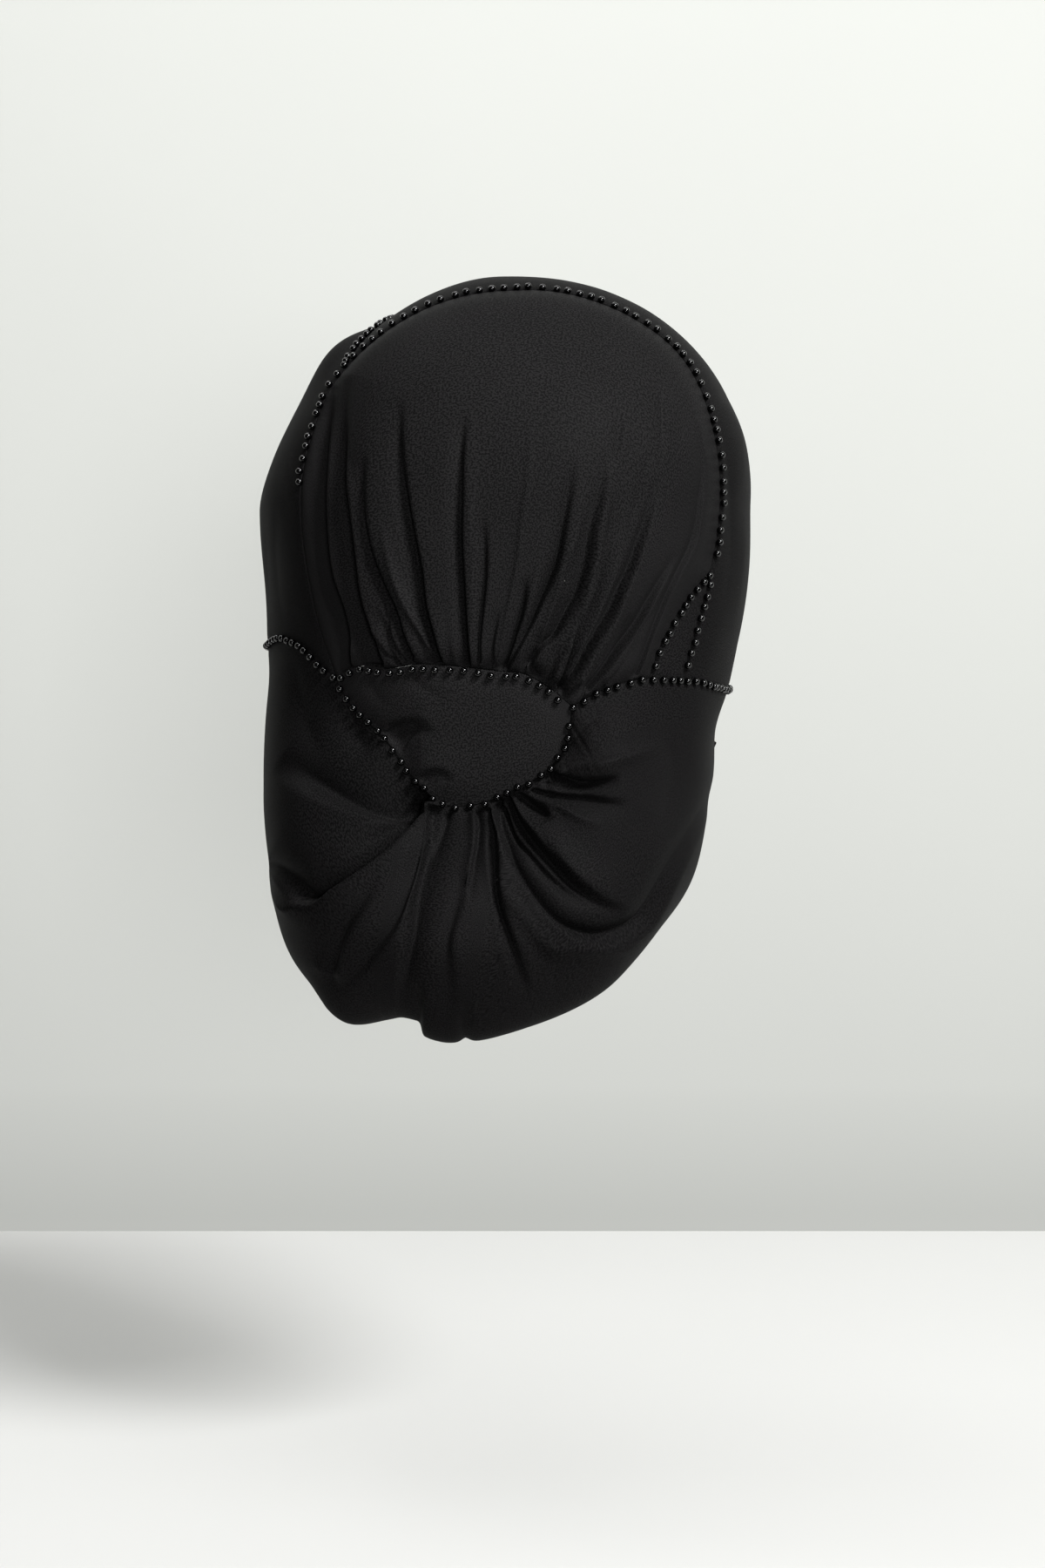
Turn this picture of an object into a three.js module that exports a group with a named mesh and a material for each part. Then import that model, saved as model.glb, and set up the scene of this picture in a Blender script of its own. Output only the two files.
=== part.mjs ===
// A soft black turban, as it sits on a head: a gathered crown, two bands round the face,
// a narrow gusset, a plain back patch and a hanging snood, with bead lines on the seams.
// Millimetres. The back of the turban faces -Y, the face opening faces +Y, +Z is up, and
// +X is the wearer's right. The origin is the inside of the crown, where the head's top sits.
import * as THREE from "three";

// Driving dimensions
const WALL = 1.6; // cloth with its seam allowance
const SEAM_GAP = 0.55; // each panel stops this far from the seam line
const BEAD = 3.0; // bead diameter, and so the diameter of a bead line
const BEAD_SIDES = 8;
const BEAD_RISE = 1.0; // clear space between the cloth and a bead line
const BEAD_STEP = 15; // length of one straight step of a bead line
const SNOOD_LIFT = 2.6; // more room for the bead line where the snood swells out below the patch
const JOIN_SPACE = 4.5; // a bead line stops this far before another one

// The filled-out form that the crown and bands lie on: a stretched ball, its middle EQUATOR high.
// Each side has its own reach, its own roundness (2 is an ellipse) and its own depth below.
const EQUATOR = -95;
const PLAN_ROUNDNESS = 2.15;
const UP = 98;
const SIDES = {
  left: { reach: 103.0, roundness: 1.65, down: 380 },
  right: { reach: 104.6, roundness: 2.25, down: 150 },
  back: { reach: 111.0, roundness: 1.95, down: 235 },
  front: { reach: 108.0, roundness: 2.0, down: 200 },
};
const MIDDLE = new THREE.Vector3(0, 0, EQUATOR);

// Seams, as places on the form. bearing: degrees round from the back towards +X.
// rise: degrees up from the form's middle. out: share of the form's reach, 1 where not given.
const CROWN_SEAM = [
  { bearing: -39.4, rise: -34.0 },
  { bearing: -44.7, rise: -22.3 },
  { bearing: -48.2, rise: -7.9 },
  { bearing: -48.8, rise: 4.3 },
  { bearing: -49.4, rise: 17.0 },
  { bearing: -50.8, rise: 26.5 },
  { bearing: -49.6, rise: 33.0 },
  { bearing: -46.0, rise: 40.5 },
  { bearing: -39.0, rise: 48.3 },
  { bearing: -27.5, rise: 55.0 },
  { bearing: -12.0, rise: 59.3 },
  { bearing: 6.0, rise: 61.2 },
  { bearing: 21.0, rise: 60.6 },
  { bearing: 34.0, rise: 56.2 },
  { bearing: 45.5, rise: 47.6 },
  { bearing: 53.0, rise: 37.0 },
  { bearing: 54.4, rise: 26.0 },
  { bearing: 53.6, rise: 10.0 },
  { bearing: 52.8, rise: -4.1 },
  { bearing: 50.0, rise: -14.8 },
];
const GUSSET_INNER = [
  { bearing: 50.0, rise: -14.8 },
  { bearing: 42.7, rise: -20.0 },
  { bearing: 36.3, rise: -27.5 },
  { bearing: 33.3, rise: -34.3 },
];
const GUSSET_OUTER = [
  { bearing: 50.0, rise: -14.8 },
  { bearing: 48.0, rise: -20.0 },
  { bearing: 45.6, rise: -27.0 },
  { bearing: 43.2, rise: -34.8 },
];
const LEFT_SEAM = [
  { bearing: -39.4, rise: -34.0 },
  { bearing: -43.8, rise: -32.3 },
  { bearing: -49.2, rise: -29.4 },
  { bearing: -57.0, rise: -27.9 },
  { bearing: -67.0, rise: -28.2 },
  { bearing: -78.0, rise: -29.4 },
  { bearing: -95.0, rise: -30.8, out: 0.96 },
  { bearing: -112.0, rise: -31.2, out: 0.89 },
];
const RIGHT_SEAM = [
  { bearing: 15.0, rise: -38.7 },
  { bearing: 20.0, rise: -36.7 },
  { bearing: 24.7, rise: -35.3 },
  { bearing: 33.3, rise: -34.3 },
  { bearing: 43.2, rise: -34.8 },
  { bearing: 54.0, rise: -36.0 },
  { bearing: 78.0, rise: -38.2 },
  { bearing: 96.0, rise: -37.6, out: 0.97 },
  { bearing: 111.0, rise: -36.0, out: 0.92 },
];
const PATCH_TOP = [
  { bearing: -39.4, rise: -34.0 },
  { bearing: -32.1, rise: -32.1 },
  { bearing: -24.7, rise: -32.5 },
  { bearing: -17.6, rise: -31.9 },
  { bearing: -0.6, rise: -33.3 },
  { bearing: 4.7, rise: -33.8 },
  { bearing: 10.4, rise: -36.2 },
  { bearing: 15.0, rise: -38.7 },
];
const PATCH_BOTTOM = [
  { bearing: -39.4, rise: -34.0 },
  { bearing: -34.1, rise: -38.9 },
  { bearing: -27.6, rise: -42.6 },
  { bearing: -19.6, rise: -49.2 },
  { bearing: -13.4, rise: -51.8 },
  { bearing: -6.5, rise: -52.0 },
  { bearing: 1.0, rise: -50.6 },
  { bearing: 8.6, rise: -48.3 },
  { bearing: 13.3, rise: -45.1 },
  { bearing: 15.0, rise: -38.7 },
];
const FRONT_SEAM = [
  { bearing: -49.6, rise: 33.0 },
  { bearing: -52.5, rise: 36.5 },
  { bearing: -55.5, rise: 42.0 },
  { bearing: -61.0, rise: 50.0 },
  { bearing: -72.0, rise: 57.5 },
  { bearing: -96.0, rise: 62.0 },
  { bearing: -128.0, rise: 59.0 },
  { bearing: -155.0, rise: 42.0 },
  { bearing: -175.0, rise: 18.0, out: 0.99 },
];

// The edge round the face and the hem round the neck, both from the left ear to the right ear
const FACE_EDGE = [
  { bearing: -112.0, rise: -31.2, out: 0.89 },
  { bearing: -127.8, rise: -1.7, out: 0.93 },
  { bearing: -152.4, rise: 14.5, out: 0.98 },
  { bearing: -175.0, rise: 18.0, out: 0.99 },
  { bearing: -207.6, rise: 14.5, out: 0.98 },
  { bearing: -232.2, rise: -1.7, out: 0.93 },
  { bearing: -249.0, rise: -36.0, out: 0.92 },
];
const HEM = [
  { x: -80, y: 12, z: -200 },
  { x: -68, y: -8, z: -246 },
  { x: -42, y: -34, z: -278 },
  { x: 0, y: -50, z: -288 },
  { x: 42, y: -34, z: -278 },
  { x: 68, y: -8, z: -244 },
  { x: 81, y: 12, z: -200 },
];

// How the crown is gathered, left to right in even steps: shares of the gathered foot and of
// the crown seam that one thread of the cloth joins
const CROWN_THREADS = [
  { foot: 0.0, head: 0.0 },
  { foot: 0.02, head: 0.13 },
  { foot: 0.05, head: 0.27 },
  { foot: 0.12, head: 0.35 },
  { foot: 0.24, head: 0.42 },
  { foot: 0.37, head: 0.49 },
  { foot: 0.46, head: 0.56 },
  { foot: 0.53, head: 0.63 },
  { foot: 0.62, head: 0.7 },
  { foot: 0.74, head: 0.77 },
  { foot: 0.84, head: 0.86 },
  { foot: 0.93, head: 0.94 },
  { foot: 1.0, head: 1.0 },
];

// Sections of the snood, left to right. edge: where it starts, 0 to 1 on the left seam, 1 to 2
// on the patch, 2 to 3 on the right seam. shoulder, belly and turn are the places that it
// passes. hem: share of the way round the hem where it ends.
const SNOOD_SECTIONS = [
  { edge: 0.1, shoulder: [-88, 27, -158], belly: [-87, 25, -166], turn: [-85, 24, -173], hem: 0.08 },
  { edge: 0.35, shoulder: [-97, 10, -172], belly: [-97, 8, -196], turn: [-91, 8, -212], hem: 0.19 },
  { edge: 0.65, shoulder: [-100, -20, -183], belly: [-99, -20, -226], turn: [-91, -14, -256], hem: 0.31 },
  { edge: 0.9, shoulder: [-92, -58, -190], belly: [-95, -56, -240], turn: [-85, -40, -280], hem: 0.38 },
  { edge: 1.15, shoulder: [-78, -85, -206], belly: [-85, -86, -250], turn: [-75, -64, -292], hem: 0.42 },
  { edge: 1.34, shoulder: [-57, -102, -224], belly: [-66, -107, -262], turn: [-63, -80, -303], hem: 0.45 },
  { edge: 1.5, shoulder: [-34, -108, -236], belly: [-41, -116, -270], turn: [-42, -88, -301], hem: 0.475 },
  { edge: 1.62, shoulder: [-9, -109, -240], belly: [-14, -117, -274], turn: [-21, -88, -310], hem: 0.5 },
  { edge: 1.74, shoulder: [19, -108, -236], belly: [18, -113, -270], turn: [11, -84, -307], hem: 0.53 },
  { edge: 1.86, shoulder: [38, -104, -224], belly: [47, -101, -257], turn: [40, -74, -291], hem: 0.57 },
  { edge: 2.1, shoulder: [50, -98, -200], belly: [67, -82, -239], turn: [60, -54, -270], hem: 0.62 },
  { edge: 2.45, shoulder: [78, -64, -190], belly: [80, -54, -223], turn: [75, -34, -252], hem: 0.7 },
  { edge: 2.7, shoulder: [88, -22, -186], belly: [87, -18, -207], turn: [80, -8, -228], hem: 0.82 },
  { edge: 2.92, shoulder: [87, 22, -170], belly: [86, 20, -178], turn: [85, 19, -186], hem: 0.93 },
];

// Folds, as seen from the back. route: [x, z] places from the gathered end outwards.
// depth: how far the cloth dips, or stands up where it is below zero. width: half width.
const CROWN_FOLDS = [
  { route: [[-59, -157], [-70, -124], [-75, -98], [-74, -70]], depth: 4.5, width: 4.5 },
  { route: [[-47, -159], [-59, -123], [-64, -71]], depth: 6.5, width: 4.6 },
  { route: [[-41, -158], [-53, -121], [-58, -82]], depth: -2.0, width: 3.6 },
  { route: [[-35, -157], [-47, -121], [-53, -82]], depth: 3.6, width: 3.4 },
  { route: [[-29, -159], [-41, -120], [-47, -78]], depth: -1.8, width: 3.4 },
  { route: [[-23, -160], [-35, -120], [-41, -60]], depth: 5.2, width: 3.4 },
  { route: [[-12, -160], [-16, -107], [-16, -77]], depth: 3.8, width: 3.0 },
  { route: [[-3, -160], [5, -117], [11, -56]], depth: 2.4, width: 3.0 },
  { route: [[3, -161], [19, -126], [26, -88]], depth: 4.2, width: 3.4 },
  { route: [[14, -163], [30, -123], [41, -76]], depth: 4.4, width: 3.6 },
  { route: [[23, -171], [43, -137], [57, -86]], depth: 4.4, width: 3.6 },
  { route: [[37, -164], [56, -136], [71, -109]], depth: 3.4, width: 3.8 },
  { route: [[52, -165], [65, -129], [78, -84], [72, -55]], depth: 2.6, width: 4.2 },
];
const SNOOD_FOLDS = [
  { route: [[-30, -214], [-47, -218], [-64, -214], [-88, -198]], depth: 8.4, width: 8.0 },
  { route: [[-30, -217], [-50, -227], [-76, -236], [-94, -240]], depth: -3.4, width: 5.5 },
  { route: [[-30, -221], [-60, -243], [-78, -255], [-86, -250]], depth: 6.4, width: 5.0 },
  { route: [[-29, -225], [-44, -261], [-74, -295]], depth: 4.6, width: 4.8 },
  { route: [[-26, -222], [-36, -265], [-40, -302]], depth: 5.6, width: 4.8 },
  { route: [[-11, -218], [-12, -240], [-10, -261]], depth: 3.4, width: 3.4 },
  { route: [[-9, -217], [-2, -251], [10, -294]], depth: 4.8, width: 4.2 },
  { route: [[-5, -219], [2, -245], [16, -278]], depth: -3.4, width: 4.2 },
  { route: [[-3, -216], [6, -249], [36, -270], [63, -251], [84, -212]], depth: 8.2, width: 5.8 },
  { route: [[1, -218], [15, -242], [38, -264]], depth: 4.0, width: 3.8 },
  { route: [[3, -214], [26, -240], [50, -258]], depth: 5.4, width: 4.4 },
  { route: [[7, -212], [15, -218], [17, -226]], depth: 3.8, width: 4.0 },
  { route: [[10, -211], [35, -224], [54, -228]], depth: -3.0, width: 4.5 },
  { route: [[19, -203], [32, -204], [50, -202]], depth: 5.2, width: 3.8 },
  { route: [[22, -201], [41, -197], [64, -191]], depth: -3.2, width: 4.2 },
];
const PATCH_FOLDS = [
  { route: [[-55, -173], [-46, -182], [-38, -188], [-29, -191]], depth: 2.0, width: 4.6 },
  { route: [[-34, -202], [-28, -203], [-19, -209]], depth: 1.5, width: 3.4 },
];
const BAND_FOLDS = [
  { route: [[92, -56], [96, -70], [96, -84]], depth: -2.0, width: 5.0 },
  { route: [[97, -104], [96, -130], [94, -150]], depth: -1.6, width: 5.0 },
];

// Places where a panel stands proud of the form, by height, fading over reach
const CROWN_PUFFS = [
  { x: -38, y: -72, z: -42, reach: 30, height: 1.5 },
];
const LEFT_BAND_PUFFS = [
  { x: -72, y: -34, z: -47, reach: 17, height: 4.5 },
];

// Lengths that shape a panel near its edge
const EDGE_EASE = 7; // folds and puffs grow over this far from a seam
const CROWN_PUFF = 2.6;
const PATCH_PUFF = 1.2;
const BLUNT = 4.0; // panels that run to a point are cut off where they are this wide
const FADE = 3; // a fold fades out towards its far end, as a power of the way along it
const FINE_STEP = 0.002; // share of a panel over which its slope is measured
const FOLD_SAMPLES = 48; // places along a fold from which nearness to it is measured
const SHARE_TRIES = 400; // places on a seam that are tried to find where another one meets it
const RIM_SAMPLES = 90; // places on each side of a panel from which depth inwards is measured

// Cells across and along each panel
const CELLS = {
  crown_panel: { across: 54, along: 13 },
  front_band: { across: 38, along: 8 },
  left_band: { across: 20, along: 12 },
  side_gusset: { across: 7, along: 2 },
  back_patch: { across: 20, along: 6 },
  snood: { across: 62, along: 16 },
};

const CLOTH = { color: 0x19181a, roughness: 0.78, metalness: 0 };
const GLASS = { color: 0x050506, roughness: 0.12, metalness: 0 };

// How many forms out a place is: 1 on the form, less inside it
function outness(place) {
  const flat = Math.hypot(place.x, place.y) || 1;
  const sideways = (place.x / flat) ** 2;
  const side = place.x > 0 ? SIDES.right : SIDES.left;
  const end = place.y > 0 ? SIDES.front : SIDES.back;
  const mix = (name) => sideways * side[name] + (1 - sideways) * end[name];
  const height = place.z - EQUATOR;
  const plan =
    Math.abs(place.x / side.reach) ** PLAN_ROUNDNESS + Math.abs(place.y / end.reach) ** PLAN_ROUNDNESS;
  const roundness = mix("roundness");
  const upright = Math.abs(height / (height > 0 ? UP : mix("down")));
  return (plan ** (roundness / PLAN_ROUNDNESS) + upright ** roundness) ** (1 / roundness);
}

function onForm(place, out = 1) {
  return place.clone().sub(MIDDLE).multiplyScalar(out / outness(place)).add(MIDDLE);
}

function at({ bearing, rise, out = 1 }) {
  const round = THREE.MathUtils.degToRad(bearing);
  const up = THREE.MathUtils.degToRad(rise);
  const way = new THREE.Vector3(
    Math.sin(round) * Math.cos(up),
    -Math.cos(round) * Math.cos(up),
    Math.sin(up),
  );
  return onForm(way.multiplyScalar(UP).add(MIDDLE), out);
}

// A seam is a smooth curve through its table
function seam(rows) {
  return new THREE.CatmullRomCurve3(rows.map(at), false, "centripetal");
}

function shareAt(curve, row) {
  const target = at(row);
  let best = 0;
  for (let i = 1; i <= SHARE_TRIES; i++) {
    const nearer = curve.getPointAt(i / SHARE_TRIES).distanceTo(target);
    if (nearer < curve.getPointAt(best).distanceTo(target)) {
      best = i / SHARE_TRIES;
    }
  }
  return best;
}

// An edge is a list of stretches of curves, met one after another by length
function edge(...stretches) {
  const lengths = stretches.map(({ curve, from = 0, to = 1 }) => curve.getLength() * Math.abs(to - from));
  const total = lengths.reduce((sum, length) => sum + length, 0);
  const walk = (share) => {
    let left = share * total;
    let i = 0;
    while (i < lengths.length - 1 && left > lengths[i]) {
      left -= lengths[i];
      i += 1;
    }
    const { curve, from = 0, to = 1 } = stretches[i];
    const part = Math.min(left / lengths[i], 1);
    return curve.getPointAt(THREE.MathUtils.clamp(from + (to - from) * part, 0, 1));
  };
  walk.corners = lengths.slice(0, -1).map((_, i) => {
    return lengths.slice(0, i + 1).reduce((sum, length) => sum + length, 0) / total;
  });
  return walk;
}

// A panel on the form between a foot edge and a head edge. Where its two sides are given too,
// it follows all four (a Coons patch); otherwise it runs to a point at both ends.
function panelOnForm(foot, head, start, end) {
  const blend = (u, v, value) => {
    const ruled = value(foot(u)).multiplyScalar(1 - v).add(value(head(u)).multiplyScalar(v));
    if (!start) {
      return ruled;
    }
    const sides = value(start(v)).multiplyScalar(1 - u).add(value(end(v)).multiplyScalar(u));
    const low = value(foot(0)).multiplyScalar(1 - u).add(value(foot(1)).multiplyScalar(u));
    const high = value(head(0)).multiplyScalar(1 - u).add(value(head(1)).multiplyScalar(u));
    return ruled.add(sides).sub(low.multiplyScalar(1 - v)).sub(high.multiplyScalar(v));
  };
  return (u, v) => {
    const place = blend(u, v, (p) => p.clone());
    const out = blend(u, v, (p) => new THREE.Vector3(outness(p), 0, 0)).x;
    return onForm(place, out);
  };
}

// Read one column of a table whose rows are evenly spaced
function between(rows, name, share) {
  const last = rows.length - 1;
  const before = Math.min(Math.floor(share * last), last - 1);
  return THREE.MathUtils.lerp(rows[before][name], rows[before + 1][name], share * last - before);
}

// The share of the way across a table where one of its columns reaches a value
function shareWhere(rows, name, value) {
  const next = rows.findIndex((row) => row[name] > value);
  const before = rows[next - 1][name];
  return (next - 1 + (value - before) / (rows[next][name] - before)) / (rows.length - 1);
}

// The snood is lofted through its sections, from the seams down and under to the hem
function snoodSurface(upper, hem) {
  const column = (name) =>
    new THREE.CatmullRomCurve3(SNOOD_SECTIONS.map((row) => new THREE.Vector3(...row[name])));
  const shoulders = column("shoulder");
  const bellies = column("belly");
  const turns = column("turn");
  return (u, v) => {
    const places = [
      upper(between(SNOOD_SECTIONS, "edge", u)),
      shoulders.getPoint(u),
      bellies.getPoint(u),
      turns.getPoint(u),
      hem(between(SNOOD_SECTIONS, "hem", u)),
    ];
    return new THREE.CatmullRomCurve3(places, false, "centripetal").getPoint(v);
  };
}

// How far the cloth dips at a place, from a table of folds
function readyFolds(rows) {
  return rows.map(({ route, depth, width }) => {
    const places = route.map(([x, z]) => new THREE.Vector3(x, 0, z));
    return { points: new THREE.CatmullRomCurve3(places).getPoints(FOLD_SAMPLES), depth, width };
  });
}

function dip(folds, place) {
  let total = 0;
  for (const { points, depth, width } of folds) {
    let nearest = Infinity;
    let share = 0;
    points.forEach((point, i) => {
      const away = Math.hypot(point.x - place.x, point.z - place.z);
      if (away < nearest) {
        nearest = away;
        share = i / (points.length - 1);
      }
    });
    const fade = 1 - share ** FADE;
    total += depth * fade * Math.exp(-((nearest / width) ** 2));
  }
  return total;
}

// The way straight out of the form at a place
function formWay(place) {
  const slope = (axis) => {
    const ahead = place.clone();
    const behind = place.clone();
    ahead[axis] += 1;
    behind[axis] -= 1;
    return outness(ahead) - outness(behind);
  };
  return new THREE.Vector3(slope("x"), slope("y"), slope("z")).normalize();
}

const growth = (distance) => 1 - Math.exp(-((distance / EDGE_EASE) ** 2));

// The columns of a panel: evenly spread between its ends, with one on each corner of its seams
function panelColumns(surface, { across, along }, corners) {
  const width = (u) => {
    let sum = 0;
    for (let j = 0; j < along; j++) {
      sum += surface(u, j / along).distanceTo(surface(u, (j + 1) / along));
    }
    return sum;
  };
  const firstWide = (from, by) => {
    let u = from;
    while (width(u) < BLUNT) {
      u += by;
    }
    return u;
  };
  const first = firstWide(0, FINE_STEP);
  const span = firstWide(1, -FINE_STEP) - first;
  const columns = Array.from({ length: across + 1 }, (_, i) => first + (span * i) / across);
  for (const corner of corners) {
    columns[Math.round(((corner - first) / span) * across)] = corner;
  }
  return columns;
}

// A closed shell: the outer skin with its folds, and the same skin one wall further in
function shell(surface, cells, { folds = [], puff = 0, puffs = [], corners = [] } = {}) {
  const ready = readyFolds(folds);
  const columns = panelColumns(surface, cells, corners);
  const rows = Array.from({ length: cells.along + 1 }, (_, j) => j / cells.along);
  const inside = (share) => THREE.MathUtils.clamp(share, FINE_STEP, 1 - FINE_STEP);
  const rim = [];
  for (let i = 0; i <= RIM_SAMPLES; i++) {
    const share = i / RIM_SAMPLES;
    const u = columns[0] + (columns.at(-1) - columns[0]) * share;
    rim.push(surface(u, 0), surface(u, 1), surface(columns[0], share), surface(columns.at(-1), share));
  }
  const outer = [];
  const inner = [];
  const places = [];
  let facing = 0;
  columns.forEach((u, i) => {
    rows.forEach((v, j) => {
      const place = surface(u, v);
      const alongU = surface(inside(u) + FINE_STEP, v).sub(surface(inside(u) - FINE_STEP, v));
      const alongV = surface(u, inside(v) + FINE_STEP).sub(surface(u, inside(v) - FINE_STEP));
      const normal = alongU.clone().cross(alongV).normalize();
      facing += normal.dot(place.clone().sub(MIDDLE));
      const inward = new THREE.Vector3();
      if (j === 0 || j === cells.along) {
        const off = normal.clone().cross(alongU).normalize();
        inward.addScaledVector(off, Math.sign(off.dot(alongV)) * (j === 0 ? 1 : -1));
      }
      if (i === 0 || i === cells.across) {
        const off = normal.clone().cross(alongV).normalize();
        inward.addScaledVector(off, Math.sign(off.dot(alongU)) * (i === 0 ? 1 : -1));
      }
      places.push({ place, normal, inward });
    });
  });
  const sign = Math.sign(facing);
  for (const { place, normal, inward } of places) {
    const fromRim = Math.min(...rim.map((point) => point.distanceTo(place)));
    const ease = growth(fromRim);
    const way = formWay(place).lerp(normal.clone().multiplyScalar(sign), ease).normalize();
    const proud = puffs.reduce((sum, { x, y, z, reach, height }) => {
      const away = place.distanceTo(new THREE.Vector3(x, y, z));
      return sum + height * Math.exp(-((away / reach) ** 2));
    }, puff);
    const dipped = place.y < 0 ? dip(ready, place) : 0;
    const skin = place.clone().addScaledVector(inward, SEAM_GAP).addScaledVector(way, ease * (proud - dipped));
    outer.push(skin);
    inner.push(skin.clone().addScaledVector(way, -WALL));
  }
  return closedShell(outer, inner, cells.across, cells.along, sign);
}

function closedShell(outer, inner, across, along, sign) {
  const triangles = [];
  const count = outer.length;
  const index = (i, j) => i * (along + 1) + j;
  const quad = (a, b, c, d) => {
    const [e, f] = sign > 0 ? [b, d] : [d, b];
    triangles.push(a, e, c, a, c, f);
  };
  for (let i = 0; i < across; i++) {
    for (let j = 0; j < along; j++) {
      const [a, b, c, d] = [index(i, j), index(i + 1, j), index(i + 1, j + 1), index(i, j + 1)];
      quad(a, b, c, d);
      quad(count + a, count + d, count + c, count + b);
    }
  }
  for (let i = 0; i < across; i++) {
    quad(index(i, 0), count + index(i, 0), count + index(i + 1, 0), index(i + 1, 0));
    quad(index(i, along), index(i + 1, along), count + index(i + 1, along), count + index(i, along));
  }
  for (let j = 0; j < along; j++) {
    quad(index(0, j), index(0, j + 1), count + index(0, j + 1), count + index(0, j));
    quad(index(across, j), count + index(across, j), count + index(across, j + 1), index(across, j + 1));
  }
  const geometry = new THREE.BufferGeometry();
  geometry.setFromPoints([...outer, ...inner]);
  geometry.setIndex(triangles);
  geometry.computeVertexNormals();
  return geometry;
}

// A bead line: an eight-sided rod that follows a seam just outside the cloth
function beadLine(curve, from, lift) {
  const length = curve.getLength();
  const first = from + JOIN_SPACE / length;
  const final = 1 - JOIN_SPACE / length;
  const steps = Math.max(3, Math.round(((final - first) * length) / BEAD_STEP));
  const places = [];
  for (let i = 0; i <= steps; i++) {
    const place = curve.getPointAt(first + ((final - first) * i) / steps);
    places.push(place.addScaledVector(formWay(place), BEAD / 2 + BEAD_RISE + lift));
  }
  const section = new THREE.Shape();
  for (let k = 0; k < BEAD_SIDES; k++) {
    const turn = (2 * Math.PI * k) / BEAD_SIDES;
    const corner = [(BEAD / 2) * Math.cos(turn), (BEAD / 2) * Math.sin(turn)];
    if (k === 0) {
      section.moveTo(...corner);
    } else {
      section.lineTo(...corner);
    }
  }
  section.closePath();
  return new THREE.ExtrudeGeometry(section, {
    steps,
    extrudePath: new THREE.CatmullRomCurve3(places, false, "centripetal"),
    bevelEnabled: false,
  });
}

const turban = new THREE.Group();

function add(name, geometry, finish) {
  const mesh = new THREE.Mesh(geometry, new THREE.MeshStandardMaterial(finish));
  mesh.name = name;
  turban.add(mesh);
}

// Seam curves and where they meet
const crownSeam = seam(CROWN_SEAM);
const gussetInner = seam(GUSSET_INNER);
const gussetOuter = seam(GUSSET_OUTER);
const leftSeam = seam(LEFT_SEAM);
const rightSeam = seam(RIGHT_SEAM);
const patchTop = seam(PATCH_TOP);
const patchBottom = seam(PATCH_BOTTOM);
const frontSeam = seam(FRONT_SEAM);
const faceEdge = seam(FACE_EDGE);
const hemCurve = new THREE.CatmullRomCurve3(
  [
    at(LEFT_SEAM.at(-1)),
    ...HEM.map(({ x, y, z }) => new THREE.Vector3(x, y, z)),
    at(RIGHT_SEAM.at(-1)),
  ],
  false,
  "centripetal",
);
const branch = shareAt(crownSeam, FRONT_SEAM[0]);
const gussetFrom = shareAt(rightSeam, GUSSET_INNER.at(-1));
const gussetTo = shareAt(rightSeam, GUSSET_OUTER.at(-1));
const brow = shareAt(faceEdge, FRONT_SEAM.at(-1));

// The crown, gathered along the patch and pulled up to the long crown seam
const crownFoot = edge({ curve: patchTop }, { curve: rightSeam, to: gussetFrom });
const crown = panelOnForm(
  (u) => crownFoot(between(CROWN_THREADS, "foot", u)),
  (u) => crownSeam.getPointAt(between(CROWN_THREADS, "head", u)),
  () => crownSeam.getPointAt(0),
  (v) => gussetInner.getPointAt(1 - v),
);
add("crown_panel", shell(crown, CELLS.crown_panel, {
  corners: crownFoot.corners.map((corner) => shareWhere(CROWN_THREADS, "foot", corner)),
  folds: CROWN_FOLDS,
  puff: CROWN_PUFF,
  puffs: CROWN_PUFFS,
}), CLOTH);

// The band over the top and down the wearer's right side
const frontBandBack = edge({ curve: crownSeam, from: branch }, { curve: gussetOuter });
const frontBand = panelOnForm(
  frontBandBack,
  edge({ curve: faceEdge, from: brow }),
  edge({ curve: frontSeam }),
  edge({ curve: rightSeam, from: gussetTo }),
);
add("front_band", shell(frontBand, CELLS.front_band, {
  corners: frontBandBack.corners,
  folds: BAND_FOLDS,
}), CLOTH);

// The band down the wearer's left side, which laps proud where the two bands part
const leftBand = panelOnForm(
  edge({ curve: crownSeam, to: branch }),
  edge({ curve: faceEdge, to: brow }),
  edge({ curve: leftSeam }),
  edge({ curve: frontSeam }),
);
add("left_band", shell(leftBand, CELLS.left_band, { puffs: LEFT_BAND_PUFFS }), CLOTH);

// The narrow gusset let in between the crown and the band
const gusset = panelOnForm(edge({ curve: gussetInner }), edge({ curve: gussetOuter }));
add("side_gusset", shell(gusset, CELLS.side_gusset), CLOTH);

// The plain patch that the gathers of the crown and the snood run into
const patch = panelOnForm(edge({ curve: patchBottom }), edge({ curve: patchTop }));
add("back_patch", shell(patch, CELLS.back_patch, { folds: PATCH_FOLDS, puff: PATCH_PUFF }), CLOTH);

// The snood that hangs behind the neck
const upperEdge = (part) => {
  if (part < 1) {
    return leftSeam.getPointAt(1 - part);
  }
  if (part < 2) {
    return patchBottom.getPointAt(part - 1);
  }
  return rightSeam.getPointAt(Math.min(part - 2, 1));
};
const snood = snoodSurface(upperEdge, (share) => hemCurve.getPointAt(share));
add("snood", shell(snood, CELLS.snood, {
  corners: [1, 2].map((corner) => shareWhere(SNOOD_SECTIONS, "edge", corner)),
  folds: SNOOD_FOLDS,
}), CLOTH);

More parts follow.
